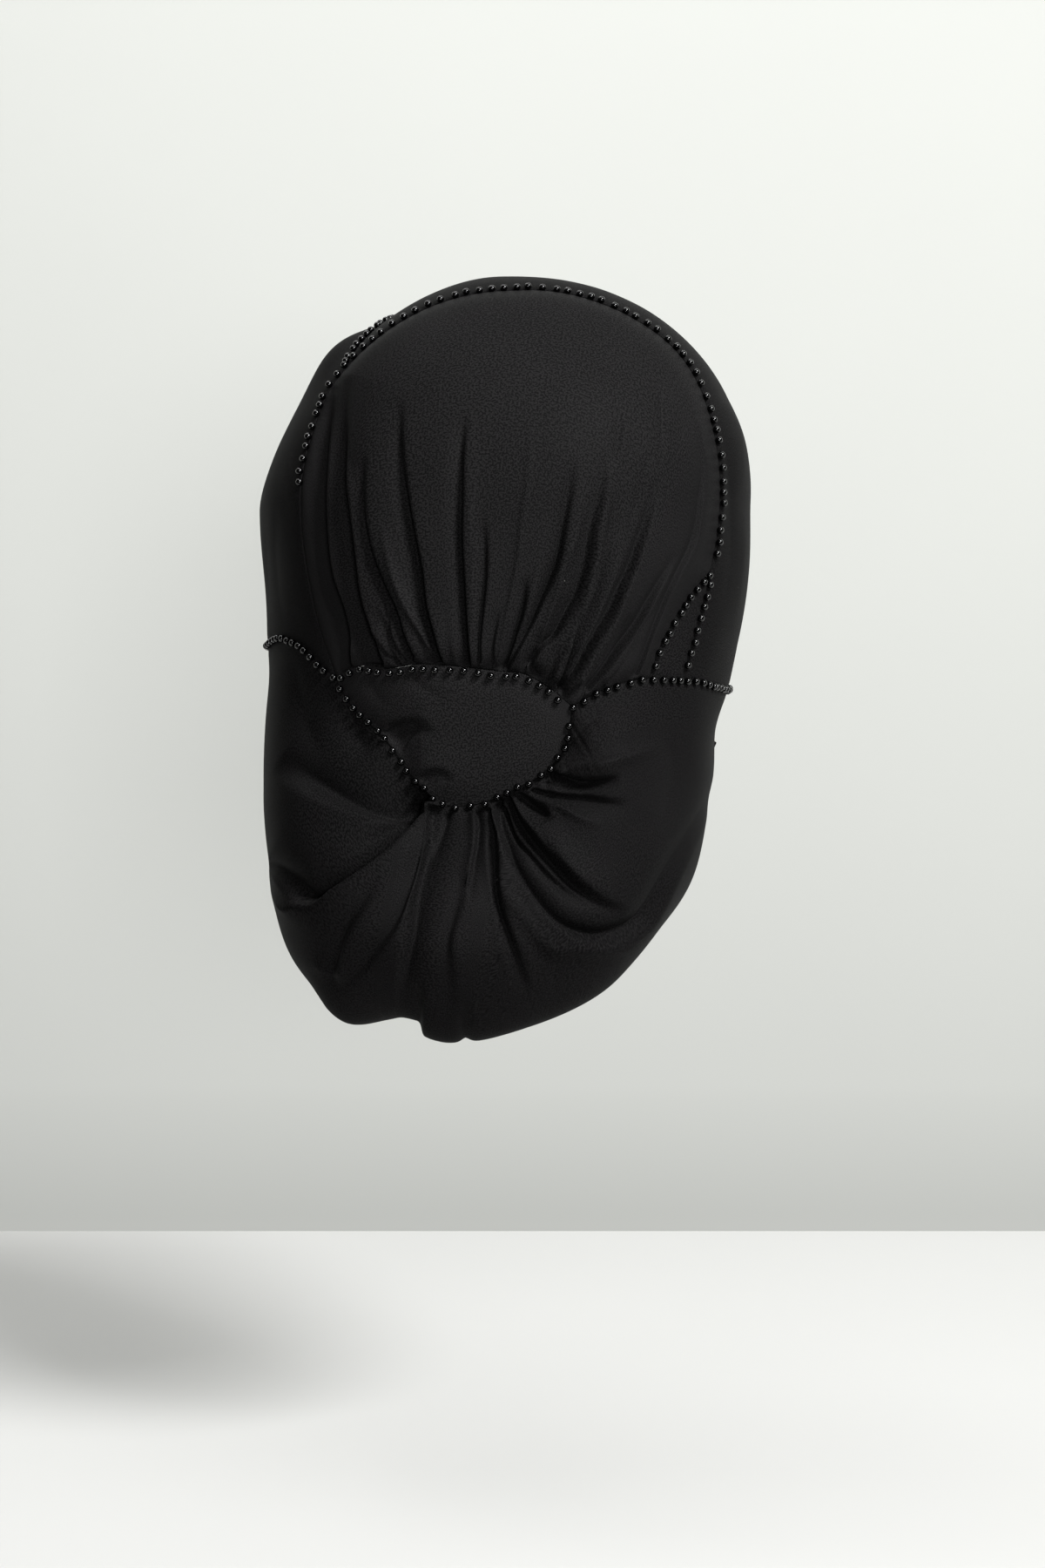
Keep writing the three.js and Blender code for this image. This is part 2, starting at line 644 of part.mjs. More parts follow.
// Bead lines on the seams. from: share of the seam where one starts, so that it clears the line
// it branches from. On the crown's left side the seam sinks out of sight before the beads start.
// lift: more room above cloth that swells out beside the seam.
const BEAD_LINES = [
  { name: "beads_crown_seam", curve: crownSeam, from: 0.2, lift: 0 },
  { name: "beads_front_seam", curve: frontSeam, from: 0.02, lift: 0 },
  { name: "beads_gusset_inner", curve: gussetInner, from: 0.06, lift: 0.4 },
  { name: "beads_gusset_outer", curve: gussetOuter, from: 0.06, lift: 0 },
  { name: "beads_patch_top", curve: patchTop, from: 0, lift: 0 },
  { name: "beads_patch_bottom", curve: patchBottom, from: 0, lift: SNOOD_LIFT },
  { name: "beads_left_seam", curve: leftSeam, from: 0, lift: 0 },
  { name: "beads_right_seam", curve: rightSeam, from: 0, lift: SNOOD_LIFT / 2 },
];
for (const { name, curve, from, lift } of BEAD_LINES) {
  add(name, beadLine(curve, from, lift), GLASS);
}

export default turban;
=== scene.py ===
# %% [markdown]
# # A black turban, sewn in Blender
#
# The turban is a soft pull-on cap. A crown is gathered on a plain back patch, two bands run
# round the face, a narrow gusset fills the corner on one side, and a loose snood hangs behind
# the neck. Small polished beads are sewn along every seam.
#
# The finished solids come in first, as a frame that never moves. Each piece made below stands
# where one of those solids is. All lengths in the tables are millimetres, as a sewing pattern
# has them, and are turned to metres when a mesh is made.

# %% Load the frame
import math

import bpy
import numpy as np
from mathutils import Matrix, Vector
from mathutils.bvhtree import BVHTree
from mathutils.kdtree import KDTree


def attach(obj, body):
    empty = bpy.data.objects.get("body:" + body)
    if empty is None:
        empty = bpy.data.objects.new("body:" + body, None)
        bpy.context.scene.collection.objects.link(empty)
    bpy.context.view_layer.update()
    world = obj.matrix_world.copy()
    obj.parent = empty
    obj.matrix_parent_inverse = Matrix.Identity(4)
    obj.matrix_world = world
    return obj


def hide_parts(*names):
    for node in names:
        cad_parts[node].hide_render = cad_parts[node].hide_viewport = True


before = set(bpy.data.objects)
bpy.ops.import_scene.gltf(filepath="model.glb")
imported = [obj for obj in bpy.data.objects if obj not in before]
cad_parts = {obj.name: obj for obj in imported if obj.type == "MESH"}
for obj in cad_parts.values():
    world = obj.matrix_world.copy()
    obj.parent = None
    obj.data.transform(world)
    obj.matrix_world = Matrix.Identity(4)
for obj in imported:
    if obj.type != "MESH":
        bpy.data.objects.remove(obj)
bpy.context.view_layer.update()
MM = 0.001

# %% [markdown]
# ## The camera
#
# The camera comes first, so that every later step can be looked at from the same place. It
# looks at the back of the turban from a little over a metre, a touch downwards, through a
# short portrait lens. A longer lens from further off would flatten the snood.

# %% Place the camera
CAMERA_PLACE = (7.4, -1190.0, -187.5)
LOOKING_DOWN = math.radians(1.07)
LENS = 64.3  # on a 36 mm sensor, along the picture's long side

camera = bpy.data.objects.new("camera", bpy.data.cameras.new("camera"))
bpy.context.scene.collection.objects.link(camera)
camera.location = Vector(CAMERA_PLACE) * MM
camera.rotation_euler = (math.pi / 2 - LOOKING_DOWN, 0, 0)
camera.data.lens = LENS
bpy.context.scene.camera = camera
print("camera at", [round(c, 3) for c in camera.location])

# %% [markdown]
# ## The form under the cloth
#
# A milliner blocks a cap over a form, and so does this lesson. The form is a stretched ball
# with its own reach, roundness and depth on each side. It could be a sculpted mesh, but a
# formula is better here: it tells at once how far out any place is, so a seam can be given by
# two angles, as on a globe, and still lie exactly on the form.

# %% The form
EQUATOR = -95.0  # height of the form's widest level
PLAN_ROUNDNESS = 2.15
UP = 98.0  # from the widest level to the top
MIDDLE = np.array([0.0, 0.0, EQUATOR])
# reach, roundness (2 is an ellipse), depth below the widest level
LEFT_SIDE = np.array([103.0, 1.65, 380.0])
RIGHT_SIDE = np.array([104.6, 2.25, 150.0])
BACK_SIDE = np.array([111.0, 1.95, 235.0])
FRONT_SIDE = np.array([108.0, 2.0, 200.0])
TINY = 1e-9  # keeps a division from being by nothing


def outness(places):
    """How many forms out each place is: 1 on the form, less inside it."""
    x, y, height = places[:, 0], places[:, 1], places[:, 2] - EQUATOR
    sideways = (x / np.maximum(np.hypot(x, y), TINY)) ** 2
    side = np.where((x > 0)[:, None], RIGHT_SIDE, LEFT_SIDE)
    end = np.where((y > 0)[:, None], FRONT_SIDE, BACK_SIDE)
    mix = sideways[:, None] * side + (1 - sideways)[:, None] * end
    plan = np.abs(x / side[:, 0]) ** PLAN_ROUNDNESS + np.abs(y / end[:, 0]) ** PLAN_ROUNDNESS
    roundness = mix[:, 1]
    upright = np.abs(height / np.where(height > 0, UP, mix[:, 2]))
    return (plan ** (roundness / PLAN_ROUNDNESS) + upright**roundness) ** (1 / roundness)


def on_form(places, out=1.0):
    """The places moved straight to or from the form's middle until they lie on it."""
    share = np.asarray(out) / outness(places)
    return MIDDLE + (places - MIDDLE) * share[:, None]


def form_way(places):
    """The way straight out of the form at each place."""
    slopes = [outness(places + step) - outness(places - step) for step in np.eye(3)]
    way = np.stack(slopes, 1)
    return way / np.linalg.norm(way, axis=1)[:, None]


top = on_form(np.array([[0.0, 0.0, 1.0]]))[0]
print("the form's top is at", top.round(1))

# %% [markdown]
# ## Seams
#
# A seam is a smooth line through a few marks. Each mark is a bearing (degrees round from the
# back towards the wearer's right) and a rise (degrees up from the form's widest level). Where
# the cloth's edge hugs the head, a share below 1 says how far out it is. Marks in angles are
# easy to read off a globe-like thing, where plain x, y, z would hide the shape.

# %% Seam marks
CROWN_SEAM = [
    (-39.4, -34.0), (-44.7, -22.3), (-48.2, -7.9), (-48.8, 4.3), (-49.4, 17.0),
    (-50.8, 26.5), (-49.6, 33.0), (-46.0, 40.5), (-39.0, 48.3), (-27.5, 55.0),
    (-12.0, 59.3), (6.0, 61.2), (21.0, 60.6), (34.0, 56.2), (45.5, 47.6),
    (53.0, 37.0), (54.4, 26.0), (53.6, 10.0), (52.8, -4.1), (50.0, -14.8),
]
GUSSET_INNER = [(50.0, -14.8), (42.7, -20.0), (36.3, -27.5), (33.3, -34.3)]
GUSSET_OUTER = [(50.0, -14.8), (48.0, -20.0), (45.6, -27.0), (43.2, -34.8)]
LEFT_SEAM = [
    (-39.4, -34.0), (-43.8, -32.3), (-49.2, -29.4), (-57.0, -27.9),
    (-67.0, -28.2), (-78.0, -29.4), (-95.0, -30.8, 0.96), (-112.0, -31.2, 0.89),
]
RIGHT_SEAM = [
    (15.0, -38.7), (20.0, -36.7), (24.7, -35.3), (33.3, -34.3), (43.2, -34.8),
    (54.0, -36.0), (78.0, -38.2), (96.0, -37.6, 0.97), (111.0, -36.0, 0.92),
]
PATCH_TOP = [
    (-39.4, -34.0), (-32.1, -32.1), (-24.7, -32.5), (-17.6, -31.9),
    (-0.6, -33.3), (4.7, -33.8), (10.4, -36.2), (15.0, -38.7),
]
PATCH_BOTTOM = [
    (-39.4, -34.0), (-34.1, -38.9), (-27.6, -42.6), (-19.6, -49.2),
    (-13.4, -51.8), (-6.5, -52.0), (1.0, -50.6), (8.6, -48.3), (13.3, -45.1),
    (15.0, -38.7),
]
FRONT_SEAM = [
    (-49.6, 33.0), (-52.5, 36.5), (-55.5, 42.0), (-61.0, 50.0), (-72.0, 57.5),
    (-96.0, 62.0), (-128.0, 59.0), (-155.0, 42.0), (-175.0, 18.0, 0.99),
]
FACE_EDGE = [
    (-112.0, -31.2, 0.89), (-127.8, -1.7, 0.93), (-152.4, 14.5, 0.98), (-175.0, 18.0, 0.99),
    (-207.6, 14.5, 0.98), (-232.2, -1.7, 0.93), (-249.0, -36.0, 0.92),
]
# The hem round the neck, in plain x, y, z, because it hangs clear of the form
HEM = [
    (-80, 12, -200), (-68, -8, -246), (-42, -34, -278), (0, -50, -288), (42, -34, -278),
    (68, -8, -244), (81, 12, -200),
]


# %% Smooth lines through the marks
LINE_PLACES = 1200  # places kept along each seam
SAME_PLACE = 1e-6  # marks nearer than this count as this far apart


def smooth_at(marks, share):
    """Places at shares of the way along smooth lines. marks is (marks, lines, 3)."""
    last = len(marks) - 1
    part = np.clip(share, 0, 1) * last
    before = np.minimum(part.astype(int), last - 1)
    part = (part - before)[:, None]
    ends = [2 * marks[0] - marks[1], 2 * marks[-1] - marks[-2]]
    padded = np.concatenate([ends[0][None], marks, ends[1][None]])
    line = np.arange(len(before)) % padded.shape[1]
    a, b, c, d = (padded[before + k, line] for k in range(4))
    ab, bc, cd = (
        np.maximum(np.linalg.norm(q - p, axis=1), SAME_PLACE)[:, None] ** 0.5
        for p, q in ((a, b), (b, c), (c, d))
    )
    leave = ((b - a) / ab - (c - a) / (ab + bc) + (c - b) / bc) * bc
    arrive = ((c - b) / bc - (d - b) / (bc + cd) + (d - c) / cd) * bc
    square = part**2
    cube = part**3
    return (
        (2 * cube - 3 * square + 1) * b
        + (cube - 2 * square + part) * leave
        + (3 * square - 2 * cube) * c
        + (cube - square) * arrive
    )


def line_through(marks):
    """A dense smooth line through marks in x, y, z."""
    marks = np.array(marks, float)[:, None, :]
    return smooth_at(marks, np.linspace(0, 1, LINE_PLACES))


def marked(rows):
    """The x, y, z of marks given as bearing, rise and, where it isn't 1, how far out."""
    bearing, rise, out = np.array([(*row, 1)[:3] for row in rows], float).T
    bearing, rise = np.radians(bearing), np.radians(rise)
    way = [np.sin(bearing) * np.cos(rise), -np.cos(bearing) * np.cos(rise), np.sin(rise)]
    return on_form(MIDDLE + UP * np.stack(way, 1), out)


def lengths(line):
    """The length run at each place of a line."""
    steps = np.linalg.norm(np.diff(line, axis=0), axis=1)
    return np.concatenate([[0], np.cumsum(steps)])


def walk(line, share):
    """Places at shares of a line's length."""
    run = lengths(line)
    return np.stack([np.interp(np.asarray(share) * run[-1], run, line[:, k]) for k in range(3)], 1)


def stretch(line, first, last):
    """The part of a line between two shares of its length."""
    return walk(line, np.linspace(first, last, LINE_PLACES))


def joined(*lines):
    """Lines that follow on from each other, as one."""
    return np.concatenate([lines[0]] + [line[1:] for line in lines[1:]])


def share_at(line, place):
    """The share of a line's length that is nearest to a place."""
    run = lengths(line)
    return run[np.argmin(np.linalg.norm(line - place, axis=1))] / run[-1]


crown_seam, gusset_inner, gusset_outer, left_seam, right_seam, patch_top, patch_bottom = (
    line_through(marked(rows))
    for rows in (
        CROWN_SEAM, GUSSET_INNER, GUSSET_OUTER, LEFT_SEAM, RIGHT_SEAM, PATCH_TOP, PATCH_BOTTOM,
    )
)
front_seam = line_through(marked(FRONT_SEAM))
face_edge = line_through(marked(FACE_EDGE))
hem = line_through([left_seam[-1], *HEM, right_seam[-1]])
branch = share_at(crown_seam, front_seam[0])
gusset_from = share_at(right_seam, gusset_inner[-1])
gusset_to = share_at(right_seam, gusset_outer[-1])
brow = share_at(face_edge, front_seam[-1])
print("crown and front seam", [round(lengths(s)[-1]) for s in (crown_seam, front_seam)], "mm")

# %% [markdown]
# ## Panels between seams
#
# A flat pattern piece is bounded by its seams, and it takes its curve from the form under it.
# So a panel here is a map: give it a share across and a share along, and it gives a place. The
# seams on all its sides are blended to one surface, which is then pulled onto the form. A grid
# bent by hand could come near, but its edges wouldn't meet its neighbour's seam.


# %% A panel on the form
def by_share(side):
    """A side of a panel as a function of a share, where it isn't one yet."""
    if side is None or callable(side):
        return side
    return lambda share: walk(side, share)


def panel(foot, head, start=None, end=None):
    """A surface from a foot line to a head line, with two side lines or running to points."""
    foot, head, start, end = (by_share(side) for side in (foot, head, start, end))

    def blended(u, v, value):
        u = u[:, None]
        v = v[:, None]
        at = u[:, 0], v[:, 0]
        ruled = (1 - v) * value(foot(at[0])) + v * value(head(at[0]))
        if start is None:
            return ruled
        sides = (1 - u) * value(start(at[1])) + u * value(end(at[1]))
        none, full = np.zeros(len(u)), np.ones(len(u))
        low = (1 - u) * value(foot(none)) + u * value(foot(full))
        high = (1 - u) * value(head(none)) + u * value(head(full))
        return ruled + sides - (1 - v) * low - v * high

    def surface(u, v):
        places = blended(u, v, lambda p: p)
        out = blended(u, v, lambda p: outness(p)[:, None])[:, 0]
        return on_form(places, out)

    return surface


# %% [markdown]
# ## The snood's sections
#
# The snood hangs free, so no form shapes it. It is lofted instead: each row is one section of
# the bag, from the seam it hangs on, over its shoulder and belly, round the turn at the
# bottom and in to the neck hem. Fourteen sections are enough, because smooth lines join them.

# %% Snood sections and the gathers of the crown
# edge: 0 to 1 on the left seam, 1 to 2 on the patch, 2 to 3 on the right seam. Then the
# shoulder, the belly and the turn, each x, y, z, and the share of the hem where it ends.
SNOOD_SECTIONS = [
    (0.1, -88, 27, -158, -87, 25, -166, -85, 24, -173, 0.08),
    (0.35, -97, 10, -172, -97, 8, -196, -91, 8, -212, 0.19),
    (0.65, -100, -20, -183, -99, -20, -226, -91, -14, -256, 0.31),
    (0.9, -92, -58, -190, -95, -56, -240, -85, -40, -280, 0.38),
    (1.15, -78, -85, -206, -85, -86, -250, -75, -64, -292, 0.42),
    (1.34, -57, -102, -224, -66, -107, -262, -63, -80, -303, 0.45),
    (1.5, -34, -108, -236, -41, -116, -270, -42, -88, -301, 0.475),
    (1.62, -9, -109, -240, -14, -117, -274, -21, -88, -310, 0.5),
    (1.74, 19, -108, -236, 18, -113, -270, 11, -84, -304, 0.53),
    (1.86, 38, -104, -224, 47, -101, -257, 40, -74, -291, 0.57),
    (2.1, 50, -98, -200, 67, -82, -239, 60, -54, -270, 0.62),
    (2.45, 78, -64, -190, 80, -54, -223, 75, -34, -252, 0.7),
    (2.7, 88, -22, -186, 87, -18, -207, 80, -8, -228, 0.82),
    (2.92, 87, 22, -170, 86, 20, -178, 85, 19, -186, 0.93),
]
# Even steps across the crown: share of the gathered foot, share of the crown seam
CROWN_THREADS = [
    (0.0, 0.0), (0.02, 0.13), (0.05, 0.27), (0.12, 0.35), (0.24, 0.42), (0.37, 0.49),
    (0.46, 0.56), (0.53, 0.63), (0.62, 0.7), (0.74, 0.77), (0.84, 0.86), (0.93, 0.94), (1.0, 1.0),
]


def column(table, k, share):
    """One column of a table of evenly spaced rows, read at shares of its length."""
    values = np.array(table, float)[:, k]
    return np.interp(np.asarray(share) * (len(values) - 1), np.arange(len(values)), values)


def snood_upper(edge):
    """The snood's upper edge: left seam, patch and right seam, one unit each."""
    parts = [
        walk(left_seam, np.clip(1 - edge, 0, 1)),
        walk(patch_bottom, np.clip(edge - 1, 0, 1)),
        walk(right_seam, np.clip(edge - 2, 0, 1)),
    ]
    which = np.clip(edge.astype(int), 0, 2)
    return np.stack(parts)[which, np.arange(len(edge))]


def snood_surface(u, v):
    """The snood, from the seams it hangs on down and under to the hem."""
    table = np.array(SNOOD_SECTIONS, float)
    marks = [snood_upper(column(table, 0, u))]
    for first in (1, 4, 7):
        marks.append(smooth_at(table[:, None, first : first + 3], u))
    marks.append(walk(hem, column(table, 10, u)))
    return smooth_at(np.stack(marks), v)


# %% [markdown]
# ## Folds
#
# A fold is a line on the cloth, as seen from the back, with a depth and a width. It dips the
# cloth along the line and can roll it up beside the line, steeper on one side, as gathered
# cloth does. Folds of the gathers fade towards their far end, and open creases at both ends.
# A cloth simulation would make folds too, but not these ones in these places. Small ripples
# from the gathering stitches are added with fixed random numbers.

# %% Fold tables
# depth (below zero makes a ridge), width, height of the crest beside the line (above zero on
# the right hand of someone who walks the line, below zero on the left, 0.0 for none), then
# x, z places from the gathered end outwards
CROWN_FOLDS = [
    (9.5, 3.6, 1.0, (-62, -161), (-62, -152), (-65, -141), (-70, -126), (-73, -105), (-74, -88),
     (-73, -66), (-69, -49)),
    (12.0, 4.4, 1.2, (-48, -160), (-52, -148), (-56, -136), (-59, -119), (-62, -99), (-64, -81),
     (-64, -64), (-61, -47)),
    (1.6, 1.0, 0.6, (-39, -162), (-43, -157), (-47, -151), (-50, -147)),
    (6.0, 1.7, 1.0, (-35, -158), (-38, -150), (-41, -140), (-45, -131), (-49, -120), (-52, -106),
     (-53, -93), (-53, -79)),
    (2.0, 1.0, 0.5, (-38, -160), (-41, -154), (-43, -148), (-44, -139), (-45, -135)),
    (1.8, 1.0, 0.5, (-40, -160), (-43, -153), (-45, -145), (-48, -138)),
    (6.5, 2.4, 0.8, (-24, -162), (-27, -151), (-30, -140), (-32, -125), (-35, -110), (-38, -93),
     (-40, -76), (-40, -58)),
    (5.2, 1.8, 1.1, (-13, -161), (-14, -147), (-15, -130), (-16, -114), (-16, -97), (-16, -80),
     (-15, -66)),
    (2.8, 1.4, 0.6, (-9, -160), (-9, -152), (-8, -140), (-7, -129), (-7, -117), (-8, -105)),
    (1.4, 1.3, 0.5, (-4, -161), (-4, -154), (-3, -147), (-2, -140)),
    (4.6, 1.5, 0.8, (1, -162), (3, -156), (5, -149), (7, -142), (8, -135), (8, -128)),
    (5.6, 1.7, 1.0, (2, -163), (8, -151), (11, -145), (14, -138), (18, -129), (21, -120), (23, -108),
     (25, -95), (26, -83)),
    (5.0, 2.1, 1.2, (11, -160), (15, -154), (19, -151), (22, -146), (25, -140), (28, -134),
     (31, -123), (33, -110), (36, -96), (38, -80)),
    (5.4, 1.7, -1.4, (21, -169), (24, -161), (26, -153), (29, -145), (33, -138), (36, -130),
     (38, -120), (41, -107), (43, -93)),
    (7.0, 1.9, 1.2, (23, -171), (28, -164), (32, -157), (36, -150), (41, -142), (45, -133),
     (49, -124), (52, -114), (55, -103), (57, -89)),
    (3.8, 1.2, -0.7, (27, -172), (32, -167), (37, -161), (41, -155), (45, -148), (49, -141)),
    (4.4, 1.6, 1.0, (33, -171), (39, -163), (45, -154), (51, -145), (56, -136), (61, -127),
     (66, -117)),
    (1.8, 1.3, -0.8, (41, -167), (47, -159), (52, -149), (58, -140), (63, -130)),
    (1.8, 1.5, 0.8, (52, -165), (57, -150), (65, -129), (73, -112), (76, -96), (77, -82), (72, -60)),
    (-1.0, 0.9, 0.0, (-10, -161), (-10, -152), (-11, -137), (-11, -120), (-12, -104), (-12, -87)),
    (-1.0, 0.9, 0.0, (-2, -161), (0, -151), (2, -140), (4, -130), (6, -119), (7, -107), (9, -94),
     (10, -80), (10, -66)),
    (-2.2, 1.3, 0.0, (2, -161), (6, -155), (9, -147), (11, -138), (13, -127), (15, -117)),
    (-2.6, 1.4, 0.0, (13, -155), (16, -146), (20, -136), (23, -124), (27, -114), (29, -103),
     (31, -92)),
    (-3.0, 1.1, 0.0, (19, -166), (21, -160), (25, -152), (29, -142), (32, -132), (35, -120),
     (37, -107), (40, -95), (41, -83)),
    (-3.0, 2.0, 0.0, (25, -166), (30, -155), (34, -147), (38, -137), (43, -125), (46, -111)),
    (-2.4, 1.1, 0.0, (29, -168), (33, -161), (38, -153), (43, -144), (47, -135), (51, -126)),
    (-2.8, 1.2, 0.0, (-26, -159), (-29, -153), (-33, -146), (-37, -138), (-41, -128), (-44, -117),
     (-46, -106)),
]
SNOOD_FOLDS = [
    (10.5, 7.0, -1.0, (-30, -215), (-38, -218), (-50, -217), (-66, -212), (-79, -205), (-89, -197)),
    (1.2, 1.4, -0.7, (-30, -218), (-38, -224), (-50, -230), (-64, -235)),
    (10.0, 3.4, -2.4, (-31, -221), (-37, -227), (-45, -233), (-57, -241), (-68, -248), (-77, -254),
     (-82, -249), (-89, -243), (-95, -239)),
    (4.0, 2.2, -1.6, (-29, -223), (-33, -236), (-37, -249), (-43, -263), (-53, -277), (-66, -290)),
    (7.0, 3.4, 0.8, (-25, -222), (-28, -233), (-32, -249), (-35, -266), (-38, -282), (-40, -304)),
    (1.5, 1.0, -0.6, (-24, -218), (-26, -222), (-28, -229)),
    (1.6, 1.0, 0.6, (-21, -218), (-22, -223), (-25, -230), (-27, -236)),
    (1.8, 3.2, -0.7, (-15, -248), (-18, -258), (-21, -268), (-21, -281), (-21, -299)),
    (3.2, 1.2, 0.8, (-11, -218), (-10, -225), (-11, -235), (-12, -245), (-12, -254)),
    (4.8, 1.8, -1.4, (-7, -218), (-5, -228), (-3, -241), (-1, -254), (3, -266), (7, -278), (9, -289)),
    (7.5, 3.4, 1.6, (-3, -217), (-2, -223), (1, -230), (4, -238), (8, -245), (13, -252), (20, -260),
     (28, -266), (38, -269), (48, -267), (55, -263), (60, -256), (65, -246), (71, -235), (78, -223),
     (89, -207)),
    (2.6, 1.2, 0.8, (-2, -216), (1, -221), (4, -226), (7, -230)),
    (4.6, 1.9, -1.4, (1, -218), (5, -227), (10, -233), (17, -241), (26, -249), (36, -257)),
    (7.5, 2.9, -1.8, (3, -214), (7, -221), (13, -229), (21, -238), (29, -246), (39, -254),
     (49, -259)),
    (5.5, 2.8, -1.0, (7, -212), (11, -215), (15, -218), (17, -223)),
    (4.2, 2.4, -0.8, (12, -210), (21, -212), (32, -213), (41, -215), (49, -217)),
    (-2.8, 1.3, 0.0, (10, -210), (16, -213), (23, -217), (30, -221), (39, -224)),
    (7.0, 2.2, -1.8, (20, -203), (26, -205), (33, -206), (40, -206), (46, -206)),
    (1.4, 1.2, -0.5, (17, -207), (24, -208), (34, -207)),
    (-3.0, 1.7, 0.0, (21, -201), (29, -200), (41, -199), (53, -196), (64, -192)),
    (1.6, 1.0, -0.6, (25, -194), (30, -189), (37, -183)),
    (1.2, 1.0, -0.5, (24, -196), (28, -193), (32, -190)),
    (-2.0, 1.1, 0.0, (-29, -219), (-31, -228), (-34, -241), (-39, -254), (-45, -265), (-56, -279),
     (-68, -290)),
    (-1.5, 1.0, 0.0, (-12, -219), (-12, -231), (-14, -243), (-16, -253), (-18, -264), (-19, -274)),
    (-1.6, 1.1, 0.0, (-8, -219), (-7, -230), (-6, -241), (-3, -256), (-1, -269), (2, -281)),
    (-2.2, 1.2, 0.0, (-6, -219), (-3, -230), (-2, -240), (1, -250), (6, -257), (12, -265), (19, -272),
     (26, -277)),
    (-1.6, 1.1, 0.0, (0, -220), (5, -229), (10, -234), (18, -241), (28, -249), (38, -258)),
]
PATCH_FOLDS = [
    (3.0, 5.0, 0.0, (-51, -192), (-44, -190), (-38, -188), (-32, -188)),
    (3.2, 4.4, -0.5, (-43, -186), (-38, -185), (-33, -186), (-31, -190)),
    (2.0, 3.0, -0.5, (-33, -207), (-29, -204), (-25, -204), (-21, -208)),
    (0.9, 2.4, 0.0, (-55, -164), (-52, -169), (-49, -174), (-45, -178)),
    (0.8, 2.4, 0.0, (-39, -163), (-34, -168), (-27, -173), (-20, -176)),
]
# Creases that start and end in the open
CROWN_CREASES = [
    (3.0, 1.3, 0.0, (9, -159), (11, -162), (13, -165), (15, -167)),
    (3.0, 1.5, 0.0, (20, -167), (22, -170), (24, -173), (25, -176)),
    (1.0, 1.3, 0.4, (61, -82), (61, -71), (61, -61), (60, -52)),
    (1.0, 1.3, 0.4, (40, -88), (43, -79), (44, -71), (44, -60)),
    (1.2, 1.5, 0.5, (48, -115), (50, -103), (53, -91), (54, -81)),
    (2.4, 4.5, 0.0, (-55, -92), (-58, -78), (-57, -64), (-52, -50)),
]
SNOOD_CREASES = [
    (4.0, 3.6, -0.8, (-46, -241), (-56, -255), (-63, -265), (-67, -276), (-68, -284), (-63, -290)),
    (-2.0, 1.8, 0.0, (-70, -252), (-78, -257), (-84, -258), (-89, -256), (-94, -250)),
    (-1.6, 2.0, 0.0, (-60, -280), (-67, -282), (-73, -280), (-76, -277)),
    (-2.0, 1.3, 0.0, (11, -265), (19, -271), (29, -273), (41, -274), (54, -273)),
    (1.4, 1.6, -0.6, (15, -225), (23, -236), (30, -245), (38, -251)),
    (2.2, 5.0, 0.0, (-84, -159), (-83, -174), (-78, -188), (-72, -199)),
    (2.6, 4.0, 0.0, (-64, -174), (-61, -182), (-57, -191), (-51, -198)),
    (2.6, 3.4, -1.6, (-33, -284), (-34, -296), (-35, -306), (-36, -318)),
    (2.2, 1.8, 0.0, (-15, -292), (-15, -302), (-15, -312), (-15, -322)),
    (1.6, 6.0, 0.0, (62, -188), (68, -201), (66, -218), (57, -235)),
]
BAND_FOLDS = [
    (-1.6, 5.0, 0.0, (90, -50), (95, -62), (97, -74), (97, -92)),
    (-1.4, 5.0, 0.0, (99, -96), (98, -114), (96, -130), (93, -150)),
    (1.4, 4.0, 0.0, (86, -64), (92, -90), (92, -118), (87, -144)),
]
LEFT_BAND_FOLDS = [
    (1.0, 4.0, 0.0, (-92, -96), (-94, -114), (-93, -130), (-88, -148)),
    (0.9, 3.5, 0.0, (-98, -90), (-99, -112), (-99, -128), (-98, -146)),
]


# %% Dips, crests and ripples
FOLD_PLACES = 60  # places along a fold from which distances are measured
FOLD_REACH = 7  # a fold is felt this many widths away
VALLEY, VALLEY_POWER = 1.15, 1.4  # reach of a plain valley, in widths, and how square it is
GENTLE, GENTLE_POWER = 1.5, 1.25  # the same for the gentle side of a fold with a crest
CREST_AT = 1.2  # the crest stands this many widths beside the line
CREST_FALL = 1.8  # and falls away over this many
LEANING = 0.9  # the crest leans back over the dip by this many widths
LEAN_FELT = 1.1  # and takes along the cloth this many widths to each side
FULL_LEAN = 1.5  # a crest of this height or more leans fully
AT_GATHERS, OPENING = 0.75, 0.6  # share of the width at the gathers, and what is gained by the end
FADE_POWER = 3.2  # how late a gathered fold fades
RIPPLE_PITCHES = (3.4, 4.7, 6.1)


def across_fold(signed, depth, crest):
    """The height over a fold and how far it leans. signed: widths from the line."""
    side = np.abs(signed)
    if not crest:
        return -depth * np.exp(-((side / VALLEY) ** VALLEY_POWER)), np.zeros(len(signed))
    gentle = -depth * np.exp(-((side / GENTLE) ** GENTLE_POWER))
    rise = np.clip(signed / CREST_AT, 0, 1)
    steep = (depth + crest) * rise**2 * (3 - 2 * rise) - depth
    past = crest * np.exp(-(((signed - CREST_AT) / CREST_FALL) ** 2))
    height = np.where(signed < 0, gentle, np.where(signed < CREST_AT, steep, past))
    lean = np.exp(-(((signed - CREST_AT) / LEAN_FELT) ** 2)) * min(1.0, crest / FULL_LEAN)
    return height, LEANING * lean


